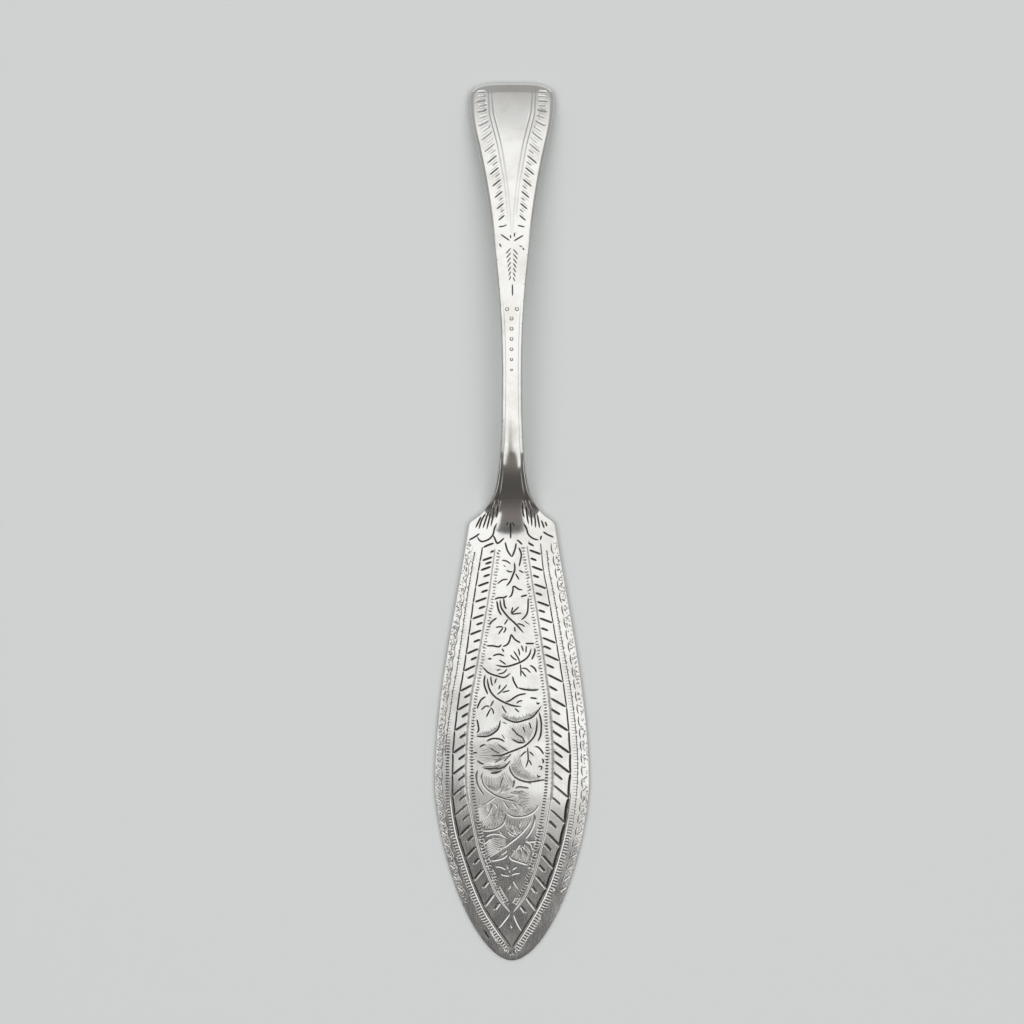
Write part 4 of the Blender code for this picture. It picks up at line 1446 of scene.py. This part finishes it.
def ladder_border(border, graver):
    """Milled rungs outside the feather border's line, each with a dot at its outer end.

    Above ladder_full the rungs are mere touches between the line and the dots, and over the next RUNG_TURN
    they turn into full cuts without dots.
    """
    slope = graver["wall_slope"]
    points = even_steps(smooth_path(border.line), graver["ladder_pitch"])[3:-1]
    outward, y = left_normals(points), points[:, 1]
    starts = (points + outward * read_off(border.ladder_in, y)[:, None]) * border.mirror
    ends = (points + outward * read_off(border.ladder_out, y)[:, None]) * border.mirror
    full_end = border.ladder_full - RUNG_TURN

    def to_full(touch, full):
        """A size that eases from a mere touch's to a full cut's."""
        return eased(((border.ladder_full, touch), (full_end, full)), y)

    widths = to_full(*RUNG_WIDTHS) + eased(RUNG_SWELL, y)
    cuts = rungs(starts, ends, widths, slope * to_full(*RUNG_SLOPES), to_full(*RUNG_DARKS))
    cuts += dots(ends[y > full_end], graver["dot_width"], slope)
    last = np.array(LAST_RUNGS) * border.mirror
    falls = np.array(LAST_FALLS) * border.mirror
    return cuts + rungs(last, last + falls, widths=0.4, slopes=slope, darks=0.4)


def wriggle_border(border, form, graver):
    """A zigzag of short cuts inside the rim, with a slowly waving line on its inner side."""
    rim, outward = rim_path(form, WRIGGLE_END, graver["wriggle_pitch"])
    turn = np.arange(len(rim))
    swing = eased(WRIGGLE_SWING, rim[:, 1]) * np.where(turn % 2, 1.0, -1.0)
    wave = (rim - outward * (WRIGGLE_INSET + swing)[:, None]) * border.mirror
    starts, ends = wave[:-1], wave[:-1] + (wave[1:] - wave[:-1]) * WRIGGLE_SHARE
    cuts = rungs(starts, ends, widths=0.22, slopes=graver["wall_slope"] * 0.7, darks=0.2)
    inset = WRIGGLE_INSET + WAVE_INSET + WAVE_SWING * np.sin(WAVE_TURN * turn)
    inner = (rim - outward * inset[:, None]) * border.mirror
    return cuts + [stroke(inner, width=0.24, slope=graver["wall_slope"] * 0.8, dark=0.3, fullness=9.0)]


def scallop_border(border, form, graver):
    """A chain of shallow arcs inside the rim, hollow side out."""
    rim, outward = rim_path(form, SCALLOP_END, graver["scallop_pitch"] / SCALLOP_STEPS)
    bow = np.sin(np.linspace(0.0, np.pi, SCALLOP_STEPS + 1))
    inset = (SCALLOP_INSET + SCALLOP_RISE * bow)[:, None]
    arcs = []
    for first in range(0, len(rim) - SCALLOP_STEPS, SCALLOP_STEPS):
        mine = slice(first, first + SCALLOP_STEPS + 1)
        arc = (rim[mine] - outward[mine] * inset) * border.mirror
        arcs.append(arc[0] + (arc - arc[0]) * SCALLOP_SHARE)
    return strokes(arcs, width=0.28, slope=graver["wall_slope"], dark=0.6, fullness=3.0)


def rim_dashes(border, form, graver):
    """Bright slanted strokes across the rim's band, past the belly."""
    y = np.arange(*DASH_SPAN, -graver["dash_pitch"])
    outer, inner = (
        np.column_stack([form.half_width(place) - inset, place]) * border.mirror
        for place, inset in zip((y, y - DASH_FALL), DASH_INSETS)
    )
    return rungs(outer, inner, widths=0.4, slopes=graver["wall_slope"], darks=0.1)


def streaks(table, side, form, graver):
    """Bright polishing streaks that follow the neck's flare on one side."""
    drawing = []
    for share, start, end in table:
        y = np.linspace(start, end, STREAK_POINTS)
        drawing.append(np.column_stack([form.half_width(y) * share * side, y]))
    width, slope = graver["streak_width"], graver["wall_slope"]
    return strokes(drawing, width, slope, dark=0.0, fullness=4.0, curved=False)


def blade_cuts(form, graver):
    """All the cuts on the blade: trail, shading and borders, then the heel, the tip and the long lines."""
    slope, light = graver["wall_slope"], graver["feather_width"] * 0.8
    chance = np.random.default_rng(BLADE_SEED)
    trail = strokes(IVY_STEMS, graver["stem_width"], slope, fullness=8.0)
    trail += strokes(IVY_EDGES, graver["edge_width"], slope, fullness=8.0)
    trail += strokes(IVY_VEINS, graver["vein_width"], slope, fullness=6.0)
    trail += strokes(IVY_FAINT, graver["faint_width"], slope, fullness=6.0)
    cuts = []
    for cut in trail:
        y = cut.path[:, 1].mean()
        cuts.append(cut._replace(half=cut.half * eased(TRAIL_SWELL, y), dark=float(eased(TRAIL_FADE, y))))
    cuts += strokes(TIP_DIAMOND, light, slope, dark=0.1, fullness=5.0)
    for edge, reach in LEAF_SHADES:
        cuts += hatching(edge, reach, graver, chance)
    for dark, *lines in LEAF_FANS:
        cuts += fan(lines, dark, graver, chance)
    for carve in (feather_strokes, bead_row, ladder_border):
        for border in BORDERS:
            cuts += carve(border, graver)
    cuts += wriggle_border(LEFT_BORDER, form, graver)
    cuts += scallop_border(RIGHT_BORDER, form, graver)
    for border in BORDERS:
        cuts += flecks(border, form, graver, chance)
    for border in BORDERS:
        cuts += rim_dashes(border, form, graver)
    for place, cut in enumerate(cuts):
        share = (BRIGHT_START - cut.path[:, 1].mean()) / BRIGHT_LENGTH
        cuts[place] = cut._replace(slope=float(ease(cut.slope, min(cut.slope, BRIGHT_SLOPE), share)))
    cuts += strokes(HEEL_FLUTES, graver["flute_width"], slope, fullness=5.0)
    for border in BORDERS:
        cuts += streaks(HEEL_STREAKS, border.side, form, graver)
    cuts += strokes(HEEL_SCALLOPS, graver["edge_width"], slope, fullness=8.0)
    cuts += strokes(FEATHER_STARTS, light, slope, fullness=6.0)
    cuts += strokes(TIP_NICK, graver["feather_width"], slope, fullness=3.0)
    for carve in (feather_line, panel_groove):
        for border in BORDERS:
            cuts += carve(border, graver)
    return cuts


def handle_strokes(y, share, form):
    """Both ends of strokes that fall outward from the panel's outer line, over a share of the band."""
    outer = smooth_path(HANDLE_OUTER_LINE)[::-1]
    tilt = eased(STROKE_TILT, y)
    inner = np.interp(y, outer[:, 1], outer[:, 0]) + STROKE_GAP
    edge = form.half_width(y) - eased(STROKE_MARGIN, y)
    reach = share * np.maximum(edge - inner, LEAST_BAND) / np.sqrt(1 + TILT_SHORTENING * tilt**2)
    return np.column_stack([inner, y]), np.column_stack([inner + reach, y - reach * tilt])


def handle_feathers(mirror, form, graver, chance):
    """Long and short strokes by turns beside the handle's panel, with fine bright ones between them."""
    slope, width = graver["wall_slope"], graver["handle_stroke_width"]
    pitches = graver["handle_feather_pitch"] * eased(PITCH_GROWTH, np.arange(MOST_STROKES))
    y = STROKES_TOP - np.cumsum(pitches)
    y = y[y > STROKES_END]
    long = np.arange(len(y)) % 2 == 0
    starts, ends = handle_strokes(y, np.where(long, 1.0, eased(SHORT_SHARE, y)), form)
    widths = np.where(long, 1.0, SHORT_WIDTH) * eased(((80, width), (88, 2 * width)), y)
    walls = eased(((76, slope), (86, BRIGHT_SLOPE)), y)
    darks = np.where(long, eased(STROKE_FADE, y), 0.0)
    cuts = straight_strokes(starts * mirror, ends * mirror, widths, walls, darks, fullness=6.0)
    starts, ends = handle_strokes((y[:-1] + y[1:]) / 2, 1.0, form)
    nearer = starts + (ends - starts) * chance.uniform(*FINE_START, (len(starts), 1))
    farther = ends - (ends - starts) * chance.uniform(*FINE_END, (len(starts), 1))
    return cuts + rungs(nearer * mirror, farther * mirror, widths=0.24, slopes=slope * 0.7, darks=0.0)


def wheat_ear(side, graver):
    """The leaves on one side of the wheat ear, shorter from pair to pair."""
    k = np.arange(EAR_PAIRS)
    (out, out_change), (down, down_change) = EAR_LEAF
    feet = np.column_stack([np.full(EAR_PAIRS, EAR_FOOT[0]), EAR_FOOT[1] - k - EAR_STAGGER * side])
    tips = feet + np.column_stack([out + out_change * k, down + down_change * k])
    drawing = np.stack([feet, tips], axis=1) * (side, 1.0)
    width = graver["handle_stroke_width"] * EAR_WIDTH
    return strokes(drawing, width, graver["wall_slope"], dark=0.5, fullness=6.0)


def punched_rings(graver):
    """Plain rings punched on the stem: a pair, then a row that grows smaller towards the neck."""
    middles = RING_PAIR + tuple((RING_ROW[0], RING_ROW[1] - RING_PITCH * k) for k in range(RING_COUNT))
    turns = np.linspace(0.5, 2.5, RING_POINTS) * np.pi
    ring = np.column_stack([np.cos(turns), np.sin(turns)]) * graver["punch_width"] / 2
    drawing = [np.array(middle) + ring * share for middle, share in zip(middles, RING_SHARES)]
    return strokes(drawing, width=0.22, slope=graver["wall_slope"], dark=0.25, step=0.15, fullness=40.0)


def handle_cuts(form, graver):
    """All the cuts on the handle: star, panel lines, feather strokes, wheat ear, streaks and rings."""
    slope, soft = graver["wall_slope"], graver["soft_slope"]
    chance = np.random.default_rng(HANDLE_SEED)
    width = graver["handle_stroke_width"] * STAR_WIDTH
    cuts = strokes(HANDLE_STAR, width, slope, dark=0.8, fullness=6.0)
    for side in (1.0, -1.0):
        mirror = np.array([side, 1.0])
        panel = [np.array(line) * mirror for line in (HANDLE_INNER_LINE, HANDLE_OUTER_LINE)]
        cuts += strokes(panel, width=0.52, slope=soft, dark=0.14, step=0.6, fullness=12.0)
        cuts += handle_feathers(mirror, form, graver, chance)
        cuts += wheat_ear(side, graver)
        cuts += streaks(NECK_STREAKS, side, form, graver)
        y = np.linspace(*STEM_LINE, STEM_POINTS)
        stem = np.column_stack([form.half_width(y) - form.handle_bevel_width, y]) * mirror
        cuts.append(stroke(stem, width=0.26, slope=soft, dark=0.3, step=0.7, fullness=9.0, curved=False))
    return cuts + punched_rings(graver)


def feed(tree, socket, value):
    """Link another node's output to a socket, or set the socket to a plain value."""
    if isinstance(value, bpy.types.NodeSocket):
        tree.links.new(value, socket)
    else:
        socket.default_value = value


def add_node(tree, kind, inputs=None, **settings):
    """A shader node with its settings and its inputs, which are values or other nodes' outputs."""
    node = tree.nodes.new(kind)
    for name, value in settings.items():
        setattr(node, name, value)
    for name, value in (inputs or {}).items():
        feed(tree, node.inputs[name], value)
    return node


def mix_colours(tree, factor, first, second):
    """The output of a colour mix between first and second, which are colours or outputs."""
    mix = add_node(tree, "ShaderNodeMix", {0: factor}, data_type="RGBA")
    for place, value in ((6, first), (7, second)):
        feed(tree, mix.inputs[place], value if isinstance(value, bpy.types.NodeSocket) else (*value, 1.0))
    return mix.outputs[2]


def ramp(tree, value, low, high, start=0.0, end=1.0, kind="LINEAR"):
    """The output of a map range that takes value from low..high to start..end."""
    limits = {"Value": value, "From Min": low, "From Max": high, "To Min": start, "To Max": end}
    return add_node(tree, "ShaderNodeMapRange", limits, interpolation_type=kind).outputs["Result"]


def sums(tree, operation, first, second=0.0):
    """The output of a maths node."""
    return add_node(tree, "ShaderNodeMath", {0: first, 1: second}, operation=operation).outputs["Value"]


def plated_metal(name, finish):
    """Worn plate: clouds of thin film, fine polishing marks along the piece, tarnish in the cuts, and
    tarnish with painted shade along the rim.
    """
    material = bpy.data.materials.new(name)
    material.use_nodes = True
    tree = material.node_tree
    shader = tree.nodes["Principled BSDF"]
    place = add_node(tree, "ShaderNodeTexCoord").outputs["Object"]
    cloudy = {"Vector": place, "Scale": 170.0, "Detail": 6.0, "Roughness": 0.6}
    clouds = add_node(tree, "ShaderNodeTexNoise", cloudy).outputs["Fac"]
    film = ramp(tree, clouds, 0.45, 0.75)
    drawn_out = {"Vector": place, "Rotation": (0.0, 0.0, 0.2), "Scale": (8000.0, 450.0, 2000.0)}
    along = add_node(tree, "ShaderNodeMapping", drawn_out).outputs["Vector"]
    fine = {"Vector": along, "Scale": 1.0, "Detail": 3.0}
    marks = add_node(tree, "ShaderNodeTexNoise", fine).outputs["Fac"]
    stain = add_node(tree, "ShaderNodeAttribute", attribute_name="stain").outputs["Fac"]
    plain = mix_colours(tree, film, finish.silver, finish.film)
    # Darker by the stain attribute: tarnish in the cuts, and tarnish with painted shade along the rim
    tarnish_and_rim_shade_colour = mix_colours(tree, ramp(tree, stain, 0.0, 0.6, end=0.92), plain, finish.tarnish)
    worn = ramp(tree, film, 0.0, 1.0, finish.polish, finish.haze)
    scratched = ramp(tree, marks, 0.3, 0.7, -0.03, 0.03)
    bump = add_node(tree, "ShaderNodeBump", {"Height": marks, "Strength": 0.12, "Distance": 0.00002})
    tree.links.new(tarnish_and_rim_shade_colour, shader.inputs["Base Color"])
    tree.links.new(sums(tree, "ADD", worn, scratched), shader.inputs["Roughness"])
    tree.links.new(bump.outputs["Normal"], shader.inputs["Normal"])
    shader.inputs["Metallic"].default_value = 1.0
    return material


def plain_material(name, tint, roughness, metallic=0.0):
    """One even colour."""
    material = bpy.data.materials.new(name)
    material.use_nodes = True
    shader = material.node_tree.nodes["Principled BSDF"]
    shader.inputs["Base Color"].default_value = (*tint, 1.0)
    shader.inputs["Roughness"].default_value = roughness
    shader.inputs["Metallic"].default_value = metallic
    return material


def over_angle(tree, angle, limits, start=0.0, end=1.0, kind="LINEAR"):
    """A ramp over an angle, between two limits in degrees."""
    low, high = limits
    return ramp(tree, angle, low * DEGREE, high * DEGREE, start, end, kind)


def overhead_light(tree, across, along, away, settings):
    """Where the soft light overhead is seen, from 0 to 1.

    Its edge towards the tip slants on each side, so the blade darkens unevenly, and draws back beside the
    knife.  Past the handle the light grows dimmer and ends, and it ends far out at the sides.
    """
    reach = SLANT_REACH
    left = over_angle(tree, across, (-reach, 0.0), -reach * DEGREE * settings.left_slant, 0.0)
    right = over_angle(tree, across, (0.0, reach), 0.0, reach * DEGREE * settings.right_slant)
    beside = over_angle(tree, away, BESIDE_BEGINS, 0.0, BESIDE_SHIFT * DEGREE)
    beside = sums(tree, "MULTIPLY", beside, over_angle(tree, away, BESIDE_ENDS, 1.0, 0.0))
    edge = sums(tree, "ADD", sums(tree, "ADD", along, beside), sums(tree, "ADD", left, right))
    near = over_angle(tree, edge, LIGHT_BEGINS, kind="SMOOTHSTEP")
    sides = over_angle(tree, away, LIGHT_SIDES, 1.0, 0.0, "SMOOTHSTEP")
    dimmer = over_angle(tree, along, LIGHT_DIMS, 1.0, DIMMED)
    far = over_angle(tree, along, LIGHT_ENDS, 1.0, 0.0)
    return sums(tree, "MULTIPLY", sums(tree, "MULTIPLY", near, sides), sums(tree, "MULTIPLY", dimmer, far))


def dim_room(tree, z, along, away, beside_handle, settings):
    """Brightness of the room round the light: a ceiling, shaded close to the light, and grey walls."""
    steep = sums(tree, "ARCCOSINE", z)
    ceiling = over_angle(tree, steep, CEILING_ENDS, settings.ceiling, settings.room, "SMOOTHSTEP")
    shade = over_angle(tree, steep, SHADE_ENDS, settings.shade, 1.0, "SMOOTHSTEP")
    far_wall = over_angle(tree, along, FAR_WALL_BEGINS, 0.0, settings.far_wall)
    side_wall = over_angle(tree, away, SIDE_WALL_BEGINS, 0.0, settings.side_wall)
    room = sums(tree, "MAXIMUM", sums(tree, "MULTIPLY", ceiling, shade), far_wall)
    return sums(tree, "MAXIMUM", room, sums(tree, "MULTIPLY", side_wall, beside_handle))


def studio_sky(settings):
    """The world round the knife, by the direction looked in: soft light overhead, a dim room, pale walls.

    Directions are angles from straight up, across towards +X and along towards +Y.  The pale walls stand
    near the floor all round, a little lower past the tip.
    """
    world = bpy.data.worlds.new("studio_sky")
    world.use_nodes = True
    tree = world.node_tree
    place = add_node(tree, "ShaderNodeTexCoord").outputs["Generated"]
    x, y, z = add_node(tree, "ShaderNodeSeparateXYZ", {"Vector": place}).outputs
    across, along = sums(tree, "ARCTAN2", x, z), sums(tree, "ARCTAN2", y, z)
    away = sums(tree, "ABSOLUTE", across)
    beside_handle = over_angle(tree, along, HANDLE_SIDE)
    light = overhead_light(tree, across, along, away, settings)
    room = dim_room(tree, z, along, away, beside_handle, settings)
    tilt = sums(tree, "MULTIPLY", sums(tree, "MINIMUM", y, 0.0), settings.wall_tilt)
    low, high = (math.cos(angle * DEGREE) for angle in HORIZON)
    walls = ramp(tree, sums(tree, "SUBTRACT", z, tilt), low, high, kind="SMOOTHSTEP")
    pale = sums(tree, "MAXIMUM", walls, beside_handle)
    unlit = mix_colours(tree, pale, settings.room_tint, settings.sky_tint)
    level = sums(tree, "MAXIMUM", room, sums(tree, "MULTIPLY", walls, settings.horizon))
    lack = sums(tree, "SUBTRACT", settings.sky, level)
    level = sums(tree, "ADD", level, sums(tree, "MULTIPLY", light, lack))
    background = tree.nodes["Background"]
    tree.links.new(mix_colours(tree, light, unlit, settings.sky_tint), background.inputs["Color"])
    tree.links.new(level, background.inputs["Strength"])
    return world


def plate_settings(scene):
    """What both plates are made from, in millimetres: the plain form, the gravers' sizes, the tarnish and
    the painted rim shade.
    """
    graver = in_millimetres(scene.knife_engraving)
    wear = in_millimetres(scene.knife_finish)
    tarnish = Tarnish(graver["stain_depth"], wear["edge_stain"], wear["edge_reach"])
    return KnifeForm(scene.knife_sizes), graver, tarnish


class BuildBlade(bpy.types.Operator):
    """Build the engraved blade with the tongue of its lap"""

    bl_idname = "butter_knife.blade"
    bl_label = "Engraved blade"

    def execute(self, context):
        form, graver, tarnish = plate_settings(context.scene)
        seat = form.solder_thickness / 2 + SEAM_GAP

        def top(points):
            """The finished top, and behind the lap's start the tongue under the solder."""
            return np.where(points[:, 1] < form.lap_distance, form.top(points), form.lap(points) - seat)

        ends = -form.blade_length, form.lap_end - LAP_GAP
        carved = Side(top, form.lap_distance, blade_cuts(form, graver))
        piece = make_plate("engraved_blade", form, ends, carved, Side(form.under), tarnish)
        piece.data.materials.append(plated_metal("blade_silver", context.scene.knife_finish))
        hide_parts("blade")
        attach(piece, "root")
        return {"FINISHED"}


class BuildHandle(bpy.types.Operator):
    """Build the arched handle that lies on the blade's tongue"""

    bl_idname = "butter_knife.handle"
    bl_label = "Engraved handle"

    def execute(self, context):
        form, graver, tarnish = plate_settings(context.scene)
        seat = form.solder_thickness / 2 + SEAM_GAP

        def under(points):
            """The finished underside, and before the lap's end the seat over the solder."""
            return np.where(points[:, 1] > form.lap_end, form.under(points), form.lap(points) + seat)

        ends = form.lap_distance + LAP_GAP, form.handle_length
        carved = Side(form.top, cuts=handle_cuts(form, graver))
        piece = make_plate("engraved_handle", form, ends, carved, Side(under, form.lap_end), tarnish)
        piece.data.materials.append(plated_metal("handle_silver", context.scene.knife_finish))
        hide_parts("handle")
        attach(piece, "root")
        return {"FINISHED"}


class BuildSolder(bpy.types.Operator):
    """Build the thin seam of solder inside the lap"""

    bl_idname = "butter_knife.solder"
    bl_label = "Solder seam"

    def execute(self, context):
        form = KnifeForm(context.scene.knife_sizes)
        half = form.solder_thickness / 2
        ends = form.lap_distance + LAP_GAP, form.lap_end - LAP_GAP
        top = Side(lambda points: form.lap(points) + half)
        under = Side(lambda points: form.lap(points) - half)
        piece = make_plate("solder_line", form, ends, top, under)
        solder = plain_material("solder", context.scene.knife_finish.solder, roughness=0.3, metallic=1.0)
        piece.data.materials.append(solder)
        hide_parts("solder_seam")
        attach(piece, "root")
        return {"FINISHED"}


class BuildStage(bpy.types.Operator):
    """Set the pale floor, the soft light and the camera straight above the knife"""

    bl_idname = "butter_knife.stage"
    bl_label = "Stage"

    def execute(self, context):
        scene = context.scene
        settings = scene.knife_stage
        half = settings.floor_size / 2
        turns = (-half, -half), (half, -half), (half, half), (-half, half)
        corners = [(x, y, CAD_LOW.z) for x, y in turns]
        mesh = bpy.data.meshes.new("floor")
        mesh.from_pydata(corners, [], [(0, 1, 2, 3)])
        mesh.materials.append(plain_material("pale_floor", settings.floor, roughness=0.6))
        floor = bpy.data.objects.new("floor", mesh)
        lamp = bpy.data.lights.new("fill", "AREA")
        lamp.size = settings.fill_size
        lamp.energy = settings.fill_power
        fill = bpy.data.objects.new("fill", lamp)
        fill.location = (0.0, 0.0, settings.fill_height)
        fill.visible_glossy = False
        camera = bpy.data.objects.new("camera", bpy.data.cameras.new("camera"))
        camera.location = (0.0, settings.camera_shift, settings.camera_height)
        camera.data.lens = camera.data.sensor_width * settings.camera_height / settings.view_width
        for piece in (floor, fill, camera):
            scene.collection.objects.link(piece)
        scene.camera = camera
        scene.world = studio_sky(settings)
        scene.view_settings.view_transform = "Standard"
        return {"FINISHED"}


class ButterKnifePanel(bpy.types.Panel):
    """Sidebar panel with every step of the build and its sizes"""

    bl_idname = "VIEW3D_PT_butter_knife"
    bl_label = "Butter Knife"
    bl_space_type = "VIEW_3D"
    bl_region_type = "UI"
    bl_category = "Butter Knife"

    def draw(self, context):
        for operator in OPERATORS:
            self.layout.operator(operator.bl_idname)
        for name, kind in GROUPS.items():
            box = self.layout.box()
            for size in kind.__annotations__:
                box.prop(getattr(context.scene, name), size)


GROUPS = {
    "knife_sizes": KnifeSizes,
    "knife_engraving": EngravingSizes,
    "knife_finish": SilverFinish,
    "knife_stage": StageSettings,
}
OPERATORS = (BuildBlade, BuildHandle, BuildSolder, BuildStage)


def register():
    """Register the settings on the scene, the operators and the panel."""
    for name, group in GROUPS.items():
        bpy.utils.register_class(group)
        setattr(bpy.types.Scene, name, bpy.props.PointerProperty(type=group))
    for kind in (*OPERATORS, ButterKnifePanel):
        bpy.utils.register_class(kind)


def unregister():
    """Take back what register set up."""
    for kind in (ButterKnifePanel, *reversed(OPERATORS)):
        bpy.utils.unregister_class(kind)
    for name, group in GROUPS.items():
        delattr(bpy.types.Scene, name)
        bpy.utils.unregister_class(group)


def main():
    """Build the knife and its stage."""
    register()
    bpy.ops.butter_knife.blade()
    bpy.ops.butter_knife.handle()
    bpy.ops.butter_knife.solder()
    bpy.ops.butter_knife.stage()


if __name__ == "__main__":
    main()
